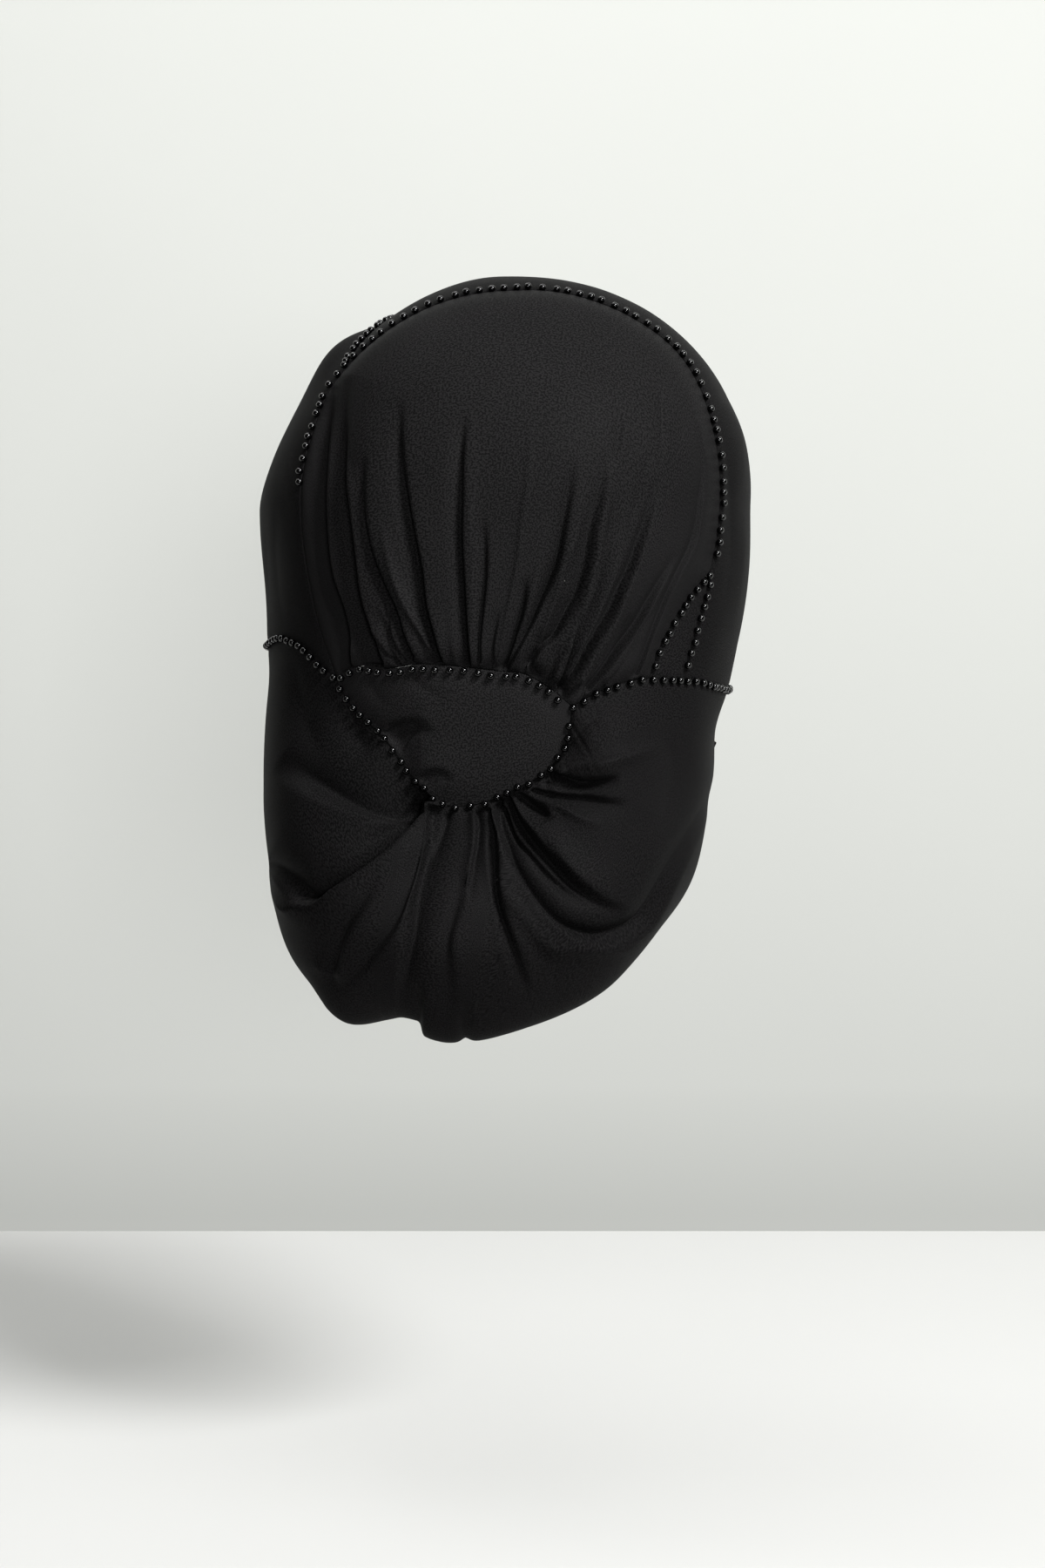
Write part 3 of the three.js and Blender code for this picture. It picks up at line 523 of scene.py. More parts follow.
def folded(places, folds, gathered=True):
    """How far the folds lift the cloth at each place, and how far they push it sideways."""
    lift = np.zeros(len(places))
    push = np.zeros((len(places), 3))
    seen = places[:, [0, 2]]
    for depth, width, crest, *marks in folds:
        marks = np.array([(x, 0, z) for x, z in marks], float)[:, None, :]
        line = smooth_at(marks, np.linspace(0, 1, FOLD_PLACES))[:, [0, 2]]
        low, high = line.min(0) - FOLD_REACH * width, line.max(0) + FOLD_REACH * width
        near = ((seen > low) & (seen < high)).all(1).nonzero()[0]
        best = np.full(len(near), np.inf)
        side, run = np.zeros(len(near)), np.zeros(len(near))
        aside = np.zeros((len(near), 2))
        for k in range(FOLD_PLACES - 1):
            step = line[k + 1] - line[k]
            from_start = seen[near] - line[k]
            part = np.clip(from_start @ step / (step @ step), 0, 1)
            off = from_start - part[:, None] * step
            away = np.hypot(off[:, 0], off[:, 1])
            nearer = away < best
            best[nearer] = away[nearer]
            right_hand = np.array([step[1], -step[0]]) / np.hypot(*step)
            side[nearer] = off[nearer] @ right_hand
            aside[nearer] = right_hand
            run[nearer] = (k + part[nearer]) / (FOLD_PLACES - 1)
        hand = -1.0 if crest < 0 else 1.0
        spread = width * (AT_GATHERS + OPENING * run)
        signed = np.sign(side) * best / spread * hand
        height, lean = across_fold(signed, depth, abs(crest))
        fade = (1 - run**FADE_POWER) if gathered else np.sin(math.pi * run)
        lift[near] += fade * height
        sideways = -hand * (fade * lean * spread)[:, None] * aside
        push[near, 0] += sideways[:, 0]
        push[near, 2] += sideways[:, 1]
    return lift, push


def ripples(run, away, height, reach, seed):
    """Small uneven gathers along a seam that fade away from it."""
    rng = np.random.default_rng(seed)
    total = np.zeros(len(run))
    for pitch in RIPPLE_PITCHES:
        total += np.sin(2 * math.pi * run / pitch + rng.uniform(0, 2 * math.pi))
    return height * total / 2 * np.exp(-((away / reach) ** 2))


# %% [markdown]
# ## From pattern to cloth
#
# Every panel is cut the same way. A grid is added, and each of its points is moved to where
# the panel's map puts it, lifted by the folds. Rows are closer together near the seams. Along
# each seam a few rows more are turned in, as a seam allowance is, so the panels meet in a small
# groove and no light comes through. Then Solidify gives the cloth its thickness.

# %% Cutting and turning a panel
CLOTH = 0.9  # thickness of the cloth
ALLOWANCE = 3.2  # how far a seam's edge turns in
SEAM_GAP = 0.15  # panels stay this far from the seam line
CLOSER = 0.55  # how strongly rows crowd towards the seams
COLUMN_PLACES = 81  # places from which the length of a column is measured
SEAM_STEP = 0.3  # seams are measured to at places this far apart
FORM_REACH = 8.0  # about this near to a seam, cloth is lifted straight out of the form
BEHIND = 10.0  # folds are full from this far behind the middle
SINK_POWER = 1.3  # how square the groove at a seam is
EDGE_ROWS = 4  # rows over which the way back from an edge is measured
# How cloth meets a seam: how far it sinks there, over what width, and how far from the seam
# its folds and its roundness reach their full height
GATHERED = (0.9, 1.2, 0.9, 5.0)
ROLLED = (0.9, 2.4, 5.0, 12.0)
PLAIN = (0.6, 1.5, 4.0, 8.0)
LIPPED = (0.2, 0.9, 2.5, 6.0)


def crowded(count):
    """Shares from 0 to 1 that lie closer together near both ends."""
    even = np.linspace(0, 1, count)
    return CLOSER * (0.5 - 0.5 * np.cos(math.pi * even)) + (1 - CLOSER) * even


def even_by_length(surface, us, count):
    """For each u, shares along that are crowded by length towards both ends."""
    fine = np.linspace(0, 1, COLUMN_PLACES)
    grid = surface(np.repeat(us, COLUMN_PLACES), np.tile(fine, len(us)))
    grid = grid.reshape(len(us), COLUMN_PLACES, 3)
    steps = np.linalg.norm(np.diff(grid, axis=1), axis=2)
    run = np.concatenate([np.zeros((len(us), 1)), np.cumsum(steps, 1)], 1)
    wanted = crowded(count)
    return np.stack([np.interp(wanted * r[-1], r, fine) for r in run])


def distances(places, line):
    """The distance from each place to a line."""
    count = int(lengths(line)[-1] / SEAM_STEP) + 2
    tree = KDTree(count)
    for k, place in enumerate(walk(line, np.linspace(0, 1, count))):
        tree.insert(place, k)
    tree.balance()
    return np.array([tree.find(place)[2] for place in places])


def near_seam(away, reach, power=2.0):
    """1 on a seam, falling to 0 away from it."""
    return np.exp(-((away / reach) ** power))


def cut_panel(surface, us, rows, seams, folds=(), puff=0.0, swells=(), gather=None, free=()):
    """The panel's places, (columns, rows, 3), and the way out of the cloth at each."""
    vs = even_by_length(surface, us, rows)
    places = surface(np.repeat(us, rows), vs.ravel())
    grid = places.reshape(len(us), rows, 3)
    across = np.gradient(grid, axis=0).reshape(-1, 3)
    along = np.gradient(grid, axis=1).reshape(-1, 3)
    way = np.cross(across, along)
    way /= np.maximum(np.linalg.norm(way, axis=1), TINY)[:, None]
    way *= np.sign((way * (places - MIDDLE)).sum())
    gaps = [distances(places, line) for line, _ in seams]
    mix = (1 - near_seam(np.min(gaps, axis=0), FORM_REACH))[:, None]
    way = form_way(places) * (1 - mix) + way * mix
    way /= np.linalg.norm(way, axis=1)[:, None]
    fold_lift, fold_push = folded(places, folds)
    fold_lift += folded(places, free, gathered=False)[0]
    if gather:
        line, height, reach, seed = gather
        run = np.concatenate([[0], np.cumsum(np.linalg.norm(np.diff(grid[:, 0], axis=0), axis=1))])
        fold_lift += ripples(np.repeat(run, rows), distances(places, line), height, reach, seed)
    round_lift = np.full(len(places), float(puff))
    for x, y, z, reach, height in swells:
        off = np.linalg.norm(places - np.array([x, y, z]), axis=1)
        round_lift += height * near_seam(off, reach)
    fold_share, round_share = np.clip(-places[:, 1] / BEHIND, 0, 1), np.ones(len(places))
    sink = np.zeros(len(places))
    for gap, (_, (depth, width, fold_ease, round_ease)) in zip(gaps, seams):
        fold_share = fold_share * (1 - near_seam(gap, fold_ease))
        round_share = round_share * (1 - near_seam(gap, round_ease))
        sink = np.maximum(sink, depth * near_seam(gap, width, SINK_POWER))
    push = fold_push * fold_share[:, None]
    push -= (push * way).sum(1)[:, None] * way
    lift = fold_share * fold_lift + round_share * round_lift - sink
    places = places + push + way * lift[:, None]
    return places.reshape(grid.shape), way.reshape(grid.shape)


def turned(places, way, side, steps):
    """Rows added beyond one side of the panel. steps: how far back over and how far in."""
    axis = 0 if side in ("start", "end") else 1
    last = side in ("end", "head")
    if last:
        places, way = np.flip(places, axis), np.flip(way, axis)
    edge = np.take(places, 0, axis)
    edge_way = np.take(way, 0, axis)
    back = np.take(places, min(EDGE_ROWS, places.shape[axis] - 1), axis) - edge
    back -= (back * edge_way).sum(1)[:, None] * edge_way
    back /= np.maximum(np.linalg.norm(back, axis=1), TINY)[:, None]
    for over, inward in steps:
        row = np.expand_dims(edge + back * over - edge_way * inward, axis)
        places = np.concatenate([row, places], axis)
        way = np.concatenate([np.expand_dims(edge_way, axis), way], axis)
    if last:
        places, way = np.flip(places, axis), np.flip(way, axis)
    return places, way


SEAM_TURN = [(SEAM_GAP, 0.5), (SEAM_GAP, 1.4), (SEAM_GAP, ALLOWANCE)]
HEM_TURN = [(0.1, 0.9), (0.7, 1.6), (5.0, 1.9), (11.0, 1.9)]
SEAMS_ALL_ROUND = [(side, SEAM_TURN) for side in ("foot", "head", "start", "end")]
HEM_AT_FACE = [("foot", SEAM_TURN), ("head", HEM_TURN), ("start", SEAM_TURN), ("end", SEAM_TURN)]
HEM_AT_NECK = [("foot", SEAM_TURN), ("head", HEM_TURN)]


# %% Making the mesh
def new_piece(name, add_primitive, **settings):
    """A new primitive, alone in the selection."""
    bpy.ops.object.select_all(action="DESELECT")
    add_primitive(**settings)
    piece = bpy.context.object
    piece.name = name
    return piece


def sheet_from(name, places):
    """A sheet of cloth whose points are at these places, with a cloth-sized UV map."""
    columns, rows = places.shape[:2]
    cells = {"x_subdivisions": columns - 1, "y_subdivisions": rows - 1}
    piece = new_piece(name, bpy.ops.mesh.primitive_grid_add, size=1, **cells)
    mesh = piece.data
    flat = np.empty(len(mesh.vertices) * 3)
    mesh.vertices.foreach_get("co", flat)
    flat = flat.reshape(-1, 3)
    i = np.rint((flat[:, 0] + 0.5) * (columns - 1)).astype(int)
    j = np.rint((flat[:, 1] + 0.5) * (rows - 1)).astype(int)
    mesh.vertices.foreach_set("co", (places[i, j] * MM).ravel())
    widths = np.linalg.norm(np.diff(places, axis=0), axis=2)
    heights = np.linalg.norm(np.diff(places, axis=1), axis=2)
    widest = widths[:, widths.sum(0).argmax()]
    tallest = heights[heights.sum(1).argmax()]
    over = np.concatenate([[0], np.cumsum(widest)]) * MM
    up = np.concatenate([[0], np.cumsum(tallest)]) * MM
    corners = np.empty(len(mesh.loops), int)
    mesh.loops.foreach_get("vertex_index", corners)
    uv = np.stack([over[i[corners]], up[j[corners]]], 1)
    mesh.uv_layers[0].name = "cloth"
    mesh.uv_layers[0].data.foreach_set("uv", uv.ravel())
    mesh.update()
    return piece


def finish_cloth(piece, places, way):
    """Faces outwards, a thickness, and smooth shading."""
    bpy.ops.object.select_all(action="DESELECT")
    piece.select_set(True)
    bpy.context.view_layer.objects.active = piece
    face_way = np.cross(np.gradient(places, axis=0), np.gradient(places, axis=1))
    if (face_way * way).sum() <= 0:
        bpy.ops.object.mode_set(mode="EDIT")
        bpy.ops.mesh.select_all(action="SELECT")
        bpy.ops.mesh.flip_normals()
        bpy.ops.object.mode_set(mode="OBJECT")
    bpy.ops.object.modifier_add(type="SOLIDIFY")
    solidify = piece.modifiers[-1]
    solidify.thickness = CLOTH * MM
    solidify.offset = -1
    solidify.use_even_offset = False
    bpy.ops.object.modifier_apply(modifier=solidify.name)
    bpy.ops.object.shade_smooth()
    print(piece.name, len(piece.data.polygons), "faces")


def sewn_panel(name, turns, *pattern, **shaping):
    """A finished panel, cut by its pattern. turns: the sides that are turned in, with steps."""
    places, way = cut_panel(*pattern, **shaping)
    for side, steps in turns:
        places, way = turned(places, way, side, steps)
    piece = sheet_from(name, places)
    finish_cloth(piece, places, way)
    return piece


def cloth_area(piece):
    """Half of the finished sheet's surface, in square metres."""
    return sum(p.area for p in piece.data.polygons) / 2


# %% [markdown]
# ## The crown
#
# The crown is one piece of cloth, cut wide and gathered along its foot into the top of the
# patch and the right lower seam. Its threads run from the gathers up to the long crown seam,
# so the grid's columns run the same way, and every fold follows them.

# %% The crown panel
CROWN_CELLS = (390, 118)
CROWN_PUFF = 2.6
CROWN_SWELLS = [(-38, -72, -42, 30, 1.0)]  # x, y, z, reach, height
CROWN_TRIM = 0.008  # the crown runs to a point on the left and stops this share before it
RIPPLES = (0.3, 14)  # height of the ripples from gathering, and how far they reach

crown_foot = joined(patch_top, stretch(right_seam, 0, gusset_from))
crown_surface = panel(
    lambda s: walk(crown_foot, column(CROWN_THREADS, 0, s)),
    lambda s: walk(crown_seam, column(CROWN_THREADS, 1, s)),
    lambda s: np.repeat(crown_seam[:1], len(s), 0),
    gusset_inner[::-1],
)
crown_us = np.linspace(CROWN_TRIM, 1 - CROWN_TRIM / 2, CROWN_CELLS[0])
crown = sewn_panel(
    "crown_panel_cloth", SEAMS_ALL_ROUND, crown_surface, crown_us, CROWN_CELLS[1],
    [(crown_foot, GATHERED), (crown_seam, ROLLED), (gusset_inner, PLAIN)],
    folds=CROWN_FOLDS, free=CROWN_CREASES, puff=CROWN_PUFF, swells=CROWN_SWELLS,
    gather=(patch_top, *RIPPLES, 4),
)

# %% [markdown]
# ## The two bands
#
# The band on the wearer's right goes over the top of the head. The band on the left laps
# under it at the front seam and stands a little proud where the two part. Both end at the
# face, where the cloth is turned under in a narrow hem.

# %% The bands
BAND_CELLS = (230, 90)
LEFT_BAND_CELLS = (130, 100)
BAND_SWELLS = [(0, 0, 3, 60, 0.8)]
LEFT_BAND_SWELLS = [(-66, -28, -36, 19, 4.0), (-60, -12, -27, 22, 2.4)]

band_back = joined(stretch(crown_seam, branch, 1), gusset_outer)
band_foot = stretch(right_seam, gusset_to, 1)
front_band_surface = panel(band_back, stretch(face_edge, brow, 1), front_seam, band_foot)
front_band = sewn_panel(
    "front_band_cloth", HEM_AT_FACE, front_band_surface, crowded(BAND_CELLS[0]), BAND_CELLS[1],
    [(band_back, PLAIN), (front_seam, PLAIN), (band_foot, PLAIN)],
    free=BAND_FOLDS, swells=BAND_SWELLS,
)

left_back = stretch(crown_seam, 0, branch)
left_band_surface = panel(left_back, stretch(face_edge, 0, brow), left_seam, front_seam)
left_band = sewn_panel(
    "left_band_cloth", HEM_AT_FACE, left_band_surface, crowded(LEFT_BAND_CELLS[0]), LEFT_BAND_CELLS[1],
    [(left_back, PLAIN), (left_seam, PLAIN), (front_seam, PLAIN)],
    free=LEFT_BAND_FOLDS, swells=LEFT_BAND_SWELLS,
)

# %% [markdown]
# ## The gusset and the patch
#
# The gusset is a small three-cornered piece that gives the seam on the right its room. The
# patch is cut flat and slanted. It carries the pull of both gathers, so it has only a few
# shallow dents on its left.

# %% The gusset and the patch
GUSSET_CELLS = (60, 24)
GUSSET_FROM = 0.1  # the sliver before this share is too narrow to sew
GUSSET_PUFF = 0.3
PATCH_CELLS = (150, 80)
PATCH_SPAN = (0.012, 0.985)  # the patch stops just before its two points
PATCH_PUFF = 1.2

gusset_surface = panel(gusset_inner, gusset_outer)
gusset_foot = stretch(right_seam, gusset_from, gusset_to)
gusset = sewn_panel(
    "side_gusset_cloth", SEAMS_ALL_ROUND, gusset_surface,
    np.linspace(GUSSET_FROM, 1, GUSSET_CELLS[0]), GUSSET_CELLS[1],
    [(gusset_inner, PLAIN), (gusset_outer, PLAIN), (gusset_foot, PLAIN)], puff=GUSSET_PUFF,
)

patch_surface = panel(patch_bottom, patch_top)
patch = sewn_panel(
    "back_patch_cloth", SEAMS_ALL_ROUND, patch_surface,
    np.linspace(*PATCH_SPAN, PATCH_CELLS[0]), PATCH_CELLS[1],
    [(patch_bottom, LIPPED), (patch_top, LIPPED)], folds=PATCH_FOLDS, puff=PATCH_PUFF,
)

# %% [markdown]
# ## The snood
#
# The snood hangs from the lower seams and from under the patch. Its deepest folds fan out
# from the patch, and one long fold sweeps round the bottom on the right. The hem round the
# neck is turned under.

# %% The snood
SNOOD_CELLS = (380, 124)
SNOOD_SPAN = (0.004, 0.996)

snood = sewn_panel(
    "snood_cloth", HEM_AT_NECK, snood_surface,
    np.linspace(*SNOOD_SPAN, SNOOD_CELLS[0]), SNOOD_CELLS[1],
    [(patch_bottom, GATHERED), (left_seam, PLAIN), (right_seam, PLAIN)],
    folds=SNOOD_FOLDS, free=SNOOD_CREASES, gather=(patch_bottom, *RIPPLES, 9),
)

# %% [markdown]
# ## Beads
#
# One bead is modelled with care, and the rest are copies. It starts as a round ball with
# its hole along Z, and the two poles are pushed in to make the mouths of the hole. The copies
# follow each seam, nearly evenly, because they are sewn on by hand: small fixed random steps
# move and turn them. Each one is let down onto the cloth under it, so none floats and none
# is buried.

# %% One bead
BEAD = 3.0  # diameter
BEAD_SIDES = 12
BEAD_RINGS = 8
MOUTH = 0.55  # how deep the mouths of the hole are
POLE = 0.99  # corners beyond this share of the radius are poles

ball = {"segments": BEAD_SIDES, "ring_count": BEAD_RINGS, "radius": BEAD / 2 * MM}
bead = new_piece("bead", bpy.ops.mesh.primitive_uv_sphere_add, **ball)
bpy.ops.object.mode_set(mode="EDIT")
bpy.ops.mesh.select_all(action="DESELECT")
bpy.ops.object.mode_set(mode="OBJECT")
for end in (1, -1):
    for corner in bead.data.vertices:
        corner.select = corner.co.z * end > BEAD / 2 * MM * POLE
    bpy.ops.object.mode_set(mode="EDIT")
    bpy.ops.transform.translate(value=(0, 0, -end * MOUTH * MM))
    bpy.ops.object.mode_set(mode="OBJECT")
bpy.ops.object.shade_smooth()
print("a bead has", len(bead.data.polygons), "faces")

# %% Sewing beads along a seam
RESTING = 0.3  # a bead is sewn down into the cloth by this much
FEELER_REACHES = (0.8, 1.3)  # the cloth is felt for this far from a bead's middle
FEELER_TURNS = [0.785 * k for k in range(8)]  # in radians, about an eighth of a turn apart
FEELERS = [(0.0, 0.0)] + [
    (reach * math.cos(turn), reach * math.sin(turn)) for reach in FEELER_REACHES for turn in FEELER_TURNS
]
LOOK_FROM = 9.0  # feelers look down from this far above the seam
LOOK_FAR = 16.0  # and see this far
HIGHEST = 3.2  # the most that a bead's middle stands above its seam
UNEVEN = (0.8, 1.2)  # the steps between beads are these shares of the spacing
ASTRAY = 0.45  # beads stray this far to either side
TWIST = 0.3  # and turn this much, in radians
AHEAD = 0.004  # share of a line over which its direction is taken

all_cloth = [crown, front_band, left_band, gusset, patch, snood]
corners, faces = [], []
for piece in all_cloth:
    faces += [[v + len(corners) for v in face.vertices] for face in piece.data.polygons]
    corners += [v.co / MM for v in piece.data.vertices]
cloth_under = BVHTree.FromPolygons(corners, faces)


def resting_height(place, across, out, ahead):
    """How far above a place a bead's middle is when it rests on the cloth there."""
    best = -1.0
    for a, b in FEELERS:
        start = Vector(place + across * a + ahead * b + out * LOOK_FROM)
        _, _, _, far = cloth_under.ray_cast(start, Vector(-out), LOOK_FAR)
        if far is not None:
            below_middle = math.sqrt(max((BEAD / 2) ** 2 - a * a - b * b, 0.0))
            best = max(best, LOOK_FROM - far + below_middle)
    return min(best - RESTING, HIGHEST)


def bead_places(line, first, last, spacing, aside, seed):
    """Where the beads of one line sit: a list of matrices."""
    rng = np.random.default_rng(seed)
    total = lengths(line)[-1]
    run = [first * total]
    while run[-1] < last * total:
        run.append(run[-1] + spacing * rng.uniform(*UNEVEN))
    share = np.array(run[:-1]) / total
    middle = walk(line, share)
    ahead = walk(line, np.minimum(share + AHEAD, 1)) - walk(line, np.maximum(share - AHEAD, 0))
    out = form_way(middle)
    found = []
    for place, along, up in zip(middle, ahead, out):
        along = along - (along @ up) * up
        along /= np.linalg.norm(along)
        across = np.cross(up, along)
        place = place + across * (aside + rng.uniform(-ASTRAY, ASTRAY))
        height = resting_height(place, across, up, along)
        turn = rng.uniform(-TWIST, TWIST)
        along, across = (
            along * math.cos(turn) + across * math.sin(turn),
            across * math.cos(turn) - along * math.sin(turn),
        )
        place = place + up * height
        matrix = Matrix((across, up, along)).transposed().to_4x4()
        matrix.translation = place * MM
        found.append(matrix)
    return found


def sew_on(name, places_of_beads):
    """Copies of the bead at all these places, joined to one mesh."""
    bpy.ops.object.select_all(action="DESELECT")
    for matrix in places_of_beads:
        copy = bpy.data.objects.new(name, bead.data.copy())
        bpy.context.scene.collection.objects.link(copy)
        copy.data.transform(matrix)
        copy.select_set(True)
        bpy.context.view_layer.objects.active = copy
    bpy.ops.object.join()
    sewn = bpy.context.object
    sewn.name = name
    return sewn


# %% Bead lines
# name of the node, line, first and last share of the line, spacing, how far aside, seed
BEAD_LINES = [
    ("beads_crown_seam", crown_seam, 0.21, 0.985, 5.2, 0.0, 11),
    ("beads_front_seam", front_seam, 0.02, 0.985, 4.9, 0.0, 12),
    ("beads_gusset_inner", gusset_inner, 0.04, 0.97, 4.5, 0.0, 13),
    ("beads_gusset_outer", gusset_outer, 0.12, 0.95, 4.5, 0.0, 14),
    ("beads_patch_top", patch_top, 0.04, 0.965, 4.9, -1.5, 15),
    ("beads_patch_bottom", patch_bottom, 0.04, 0.97, 4.9, 0.3, 16),
    ("beads_left_seam", left_seam, 0.0, 0.975, 5.2, 0.0, 17),
    ("beads_right_seam", right_seam, 0.0, 0.975, 5.2, 0.0, 18),
]
bead_pieces = {}
for node, line, first, last, spacing, aside, seed in BEAD_LINES:
    found = bead_places(line, first, last, spacing, aside, seed)
    bead_pieces[node] = sew_on(node + "_sewn", found)
    print(node, len(found), "beads")
bpy.data.objects.remove(bead)

# %% [markdown]
# ## Black crepe
#
# The cloth is a black crepe jersey: fine, slightly grainy and matt, with only a trace of
# sheen. The dye takes in nearly all the light, so the look is in the folds and the grain. The
# grain is a fine weave read from the UV map, which is cut to size, so it follows the cloth.
# A little lint and a faint change of tone keep it from looking like rubber.


# %% Crepe material
CREPE_DARK = (0.0036, 0.0035, 0.0036)
CREPE_LIGHT = (0.0098, 0.0095, 0.0097)
LINT = (0.09, 0.09, 0.085)
LINT_SIZE = 0.018  # in steps of the lint's pattern
GRAIN_CONTRAST, GRAIN_MIDDLE = 8.0, -3.9
MOTTLE = 0.8  # how much the slow change of tone counts
WEAVE = 0.5  # how much the threads count in the bump beside the grain


def node_tree(name):
    """A new material with its shader, and a short way to add and join nodes."""
    material = bpy.data.materials.new(name)
    material.use_nodes = True
    tree = material.node_tree
    shader = tree.nodes["Principled BSDF"]

    def add(kind, **settings):
        node = tree.nodes.new(kind)
        for key, value in settings.items():
            if isinstance(value, (int, float)) and key in node.inputs:
                node.inputs[key].default_value = value
            else:
                setattr(node, key, value)
        return node

    return material, shader, add, tree.links.new


def noise(add, join, along, scale, detail):
    """A soft random pattern from 0 to 1, read along these coordinates."""
    node = add("ShaderNodeTexNoise", Scale=scale, Detail=detail)
    join(along, node.inputs["Vector"])
    return node.outputs["Fac"]


def scaled(add, join, value, factor, more):
    """A value times a factor, plus a number or another value."""
    node = add("ShaderNodeMath", operation="MULTIPLY_ADD")
    join(value, node.inputs[0])
    node.inputs[1].default_value = factor
    if isinstance(more, float):
        node.inputs[2].default_value = more
    else:
        join(more, node.inputs[2])
    return node.outputs[0]


def crepe(name, painted_light_tone):
    """Fine black crepe. The last argument, about 1, makes the piece's crepe lighter or darker: painted
    light and shade.
    """
    material, shader, add, join = node_tree(name)
    dark, light = ([c * painted_light_tone for c in shade] for shade in (CREPE_DARK, CREPE_LIGHT))
    shader.inputs["Roughness"].default_value = 0.55
    shader.inputs["Specular IOR Level"].default_value = 0.012
    shader.inputs["Sheen Weight"].default_value = 0.005
    shader.inputs["Sheen Roughness"].default_value = 0.35
    uv = add("ShaderNodeUVMap", uv_map="cloth").outputs["UV"]
    place = add("ShaderNodeTexCoord").outputs["Object"]
    dye = noise(add, join, place, scale=26.0, detail=3.0)
    grain = noise(add, join, uv, scale=1300.0, detail=2.0)
    grainy = scaled(add, join, grain, GRAIN_CONTRAST, GRAIN_MIDDLE)
    mottled = scaled(add, join, dye, MOTTLE, grainy)
    colours = add("ShaderNodeMix", data_type="RGBA")
    colours.inputs["A"].default_value = (*dark, 1)
    colours.inputs["B"].default_value = (*light, 1)
    join(mottled, colours.inputs["Factor"])
    specks = add("ShaderNodeTexVoronoi", Scale=55.0)
    join(uv, specks.inputs["Vector"])
    speck = add("ShaderNodeMath", operation="LESS_THAN")
    speck.inputs[1].default_value = LINT_SIZE
    join(specks.outputs["Distance"], speck.inputs[0])
    linted = add("ShaderNodeMix", data_type="RGBA")
    linted.inputs["B"].default_value = (*LINT, 1)
    join(speck.outputs[0], linted.inputs["Factor"])
    join(colours.outputs["Result"], linted.inputs["A"])
    join(linted.outputs["Result"], shader.inputs["Base Color"])
    cross = add("ShaderNodeMath", operation="MULTIPLY")
    for k, run in enumerate(("X", "Y")):
        threads = add("ShaderNodeTexWave", Scale=420.0, Distortion=1.2, bands_direction=run)
        threads.inputs["Detail Scale"].default_value = 2.0
        join(uv, threads.inputs["Vector"])
        join(threads.outputs["Fac"], cross.inputs[k])
    bump = add("ShaderNodeBump", Strength=0.35, Distance=0.00016)
    cloth_height = scaled(add, join, cross.outputs[0], WEAVE, grain)
    join(cloth_height, bump.inputs["Height"])
    join(bump.outputs["Normal"], shader.inputs["Normal"])
    return material


# %% [markdown]
# ## Polished black
#
# The beads are hard, black and polished. Their colour never shows, only the small highlight.
# A faint unevenness in the roughness and the surface breaks the highlight, as on real beads,
# so they don't look like one copied ball.


# %% Bead material
def polished_black():
    """A hard polished black with slight unevenness."""
    material, shader, add, join = node_tree("black_beads")
    shader.inputs["Base Color"].default_value = (0.0006, 0.0006, 0.0007, 1)
    shader.inputs["Specular IOR Level"].default_value = 0.3
    shader.inputs["Coat Weight"].default_value = 0.2
    shader.inputs["Coat Roughness"].default_value = 0.05
    place = add("ShaderNodeTexCoord").outputs["Object"]
    uneven = noise(add, join, place, scale=420.0, detail=2.0)
    rough = add("ShaderNodeMapRange")
    rough.inputs["To Min"].default_value = 0.05
    rough.inputs["To Max"].default_value = 0.12
    join(uneven, rough.inputs["Value"])
    join(rough.outputs["Result"], shader.inputs["Roughness"])
    bump = add("ShaderNodeBump", Strength=0.05, Distance=0.0002)
    join(uneven, bump.inputs["Height"])
    join(bump.outputs["Normal"], shader.inputs["Normal"])
    return material


bead_finish = polished_black()

# %% [markdown]
# ## Handing the pieces to the frame
#
# Each cloth piece is listed with the length and width of the cloth that it is cut from, and
# with the area of its own shape, which is printed beside the finished area. The crown and the
# snood are cut wider than they end up, because they are gathered.

# %% Dress the frame
# piece, node it stands for, cloth it is cut from in mm, its area in cm2, how it is held, and a tone that
# paints light and shade by making the piece's crepe lighter or darker
CLOTHS = [
    (crown, "crown_panel", (280, 200), 385, "gathered", 1.2),
    (front_band, "front_band", (340, 155), 440, "stretched", 0.80),
    (left_band, "left_band", (210, 160), 262, "stretched", 0.9),
    (gusset, "side_gusset", (70, 22), 10.1, "stretched", 1.0),
    (patch, "back_patch", (105, 62), 47.3, "stretched", 1.5),
    (snood, "snood", (430, 170), 619, "gathered", 0.84),
]
# The tone paints light and shade: it makes each piece's crepe lighter or darker to match how lit that
# piece looks.
for piece, node, flat, area, held, painted_light_tone in CLOTHS:
    piece.data.materials.clear()
    piece.data.materials.append(crepe("black_crepe_" + node, painted_light_tone))
    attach(piece, "root")
    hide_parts(node)
    print(piece.name, "area", round(cloth_area(piece) * 1e4, 1), "cm2, cut", area, "cm2")
for node, piece in bead_pieces.items():
    piece.data.materials.append(bead_finish)
    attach(piece, "root")
    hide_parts(node)

# %% [markdown]
# ## Floor, wall and light
#
# The setting is a plain pale table and a plain wall, lit softly. The main light is a large
# soft panel up on the right of the camera, so ridges that face right catch it. A small low
# panel in front and one above keep the shadows open, and one more lights the wall.


# %% The setting
def plain(name, colour, rough):
    """A plain painted surface with a faint mottle."""
    material, shader, add, join = node_tree(name)
    shader.inputs["Roughness"].default_value = rough
    place = add("ShaderNodeTexCoord").outputs["Object"]
    mottle = noise(add, join, place, scale=3.0, detail=2.0)
    colours = add("ShaderNodeValToRGB")
    for element, share in zip(colours.color_ramp.elements, (0.97, 1.0)):
        element.color = (*(c * share for c in colour), 1)
    join(mottle, colours.inputs["Fac"])
    join(colours.outputs["Color"], shader.inputs["Base Color"])
    return material


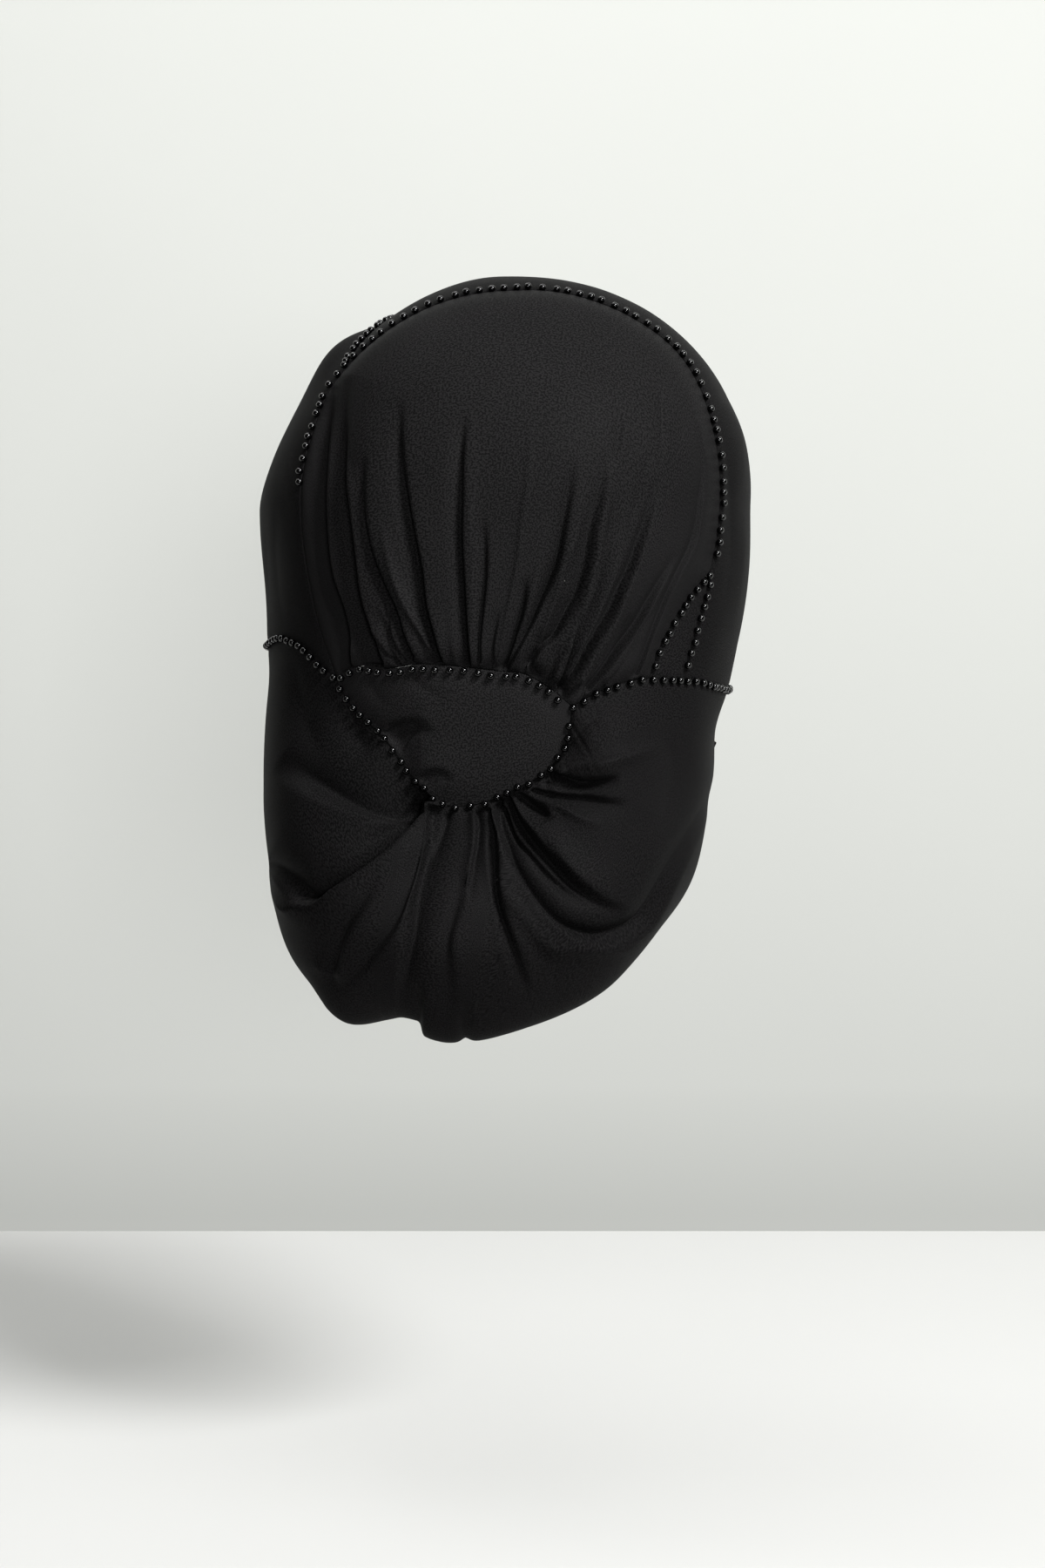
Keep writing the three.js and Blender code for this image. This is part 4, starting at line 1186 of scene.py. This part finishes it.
# The room is given in metres
FLOOR_HEIGHT = -0.488
TABLE_BACK = 0.49
TABLE_DEPTH = 0.78
TABLE_WIDTH = 6
WALL = 1.25  # the wall stands this far beyond the head
WALL_MIDDLE = 0.4
WALL_SIZE = (8, 4)


def flat_board(name, middle, stand, size, material):
    """A plain rectangle round a middle. stand: how far it is tipped up."""
    board = new_piece(name, bpy.ops.mesh.primitive_plane_add, size=1)
    tipped = Matrix.Rotation(stand, 4, "X") @ Matrix.Diagonal((*size, 1, 1))
    board.data.transform(Matrix.Translation(middle) @ tipped)
    board.data.materials.append(material)
    return board


table_top = plain("table", (0.55, 0.55, 0.54), rough=0.35)
wall_paint = plain("wall", (0.52, 0.53, 0.505), rough=0.9)
table_middle = (0, TABLE_BACK - TABLE_DEPTH / 2, FLOOR_HEIGHT)
floor = flat_board("floor", table_middle, 0, (TABLE_WIDTH, TABLE_DEPTH), table_top)
wall = flat_board("wall", (0, WALL, WALL_MIDDLE), math.pi / 2, WALL_SIZE, wall_paint)


def soft_panel(name, place, aim, size, watts):
    """A square soft light that looks at a place."""
    light = bpy.data.lights.new(name, "AREA")
    light.shape = "SQUARE"
    light.size = size
    light.energy = watts
    holder = bpy.data.objects.new(name, light)
    bpy.context.scene.collection.objects.link(holder)
    holder.location = place
    holder.rotation_euler = (Vector(aim) - Vector(place)).to_track_quat("-Z", "Y").to_euler()


AIM = (0, 0, -0.15)
soft_panel("main", (1.8, -2.15, 2.1), AIM, size=1.2, watts=240)
soft_panel("front", (0.35, -2.9, -0.2), AIM, size=0.5, watts=46)
soft_panel("above", (0.0, -0.1, 1.6), AIM, size=1.1, watts=10)
soft_panel("wall light", (-0.75, 0.45, 1.7), (-0.7, WALL, 0.1), size=0.8, watts=10)

world = bpy.data.worlds.new("room")
world.use_nodes = True
world.node_tree.nodes["Background"].inputs["Color"].default_value = (1, 1, 0.98, 1)
world.node_tree.nodes["Background"].inputs["Strength"].default_value = 0.065
bpy.context.scene.world = world
bpy.context.scene.view_settings.view_transform = "Standard"
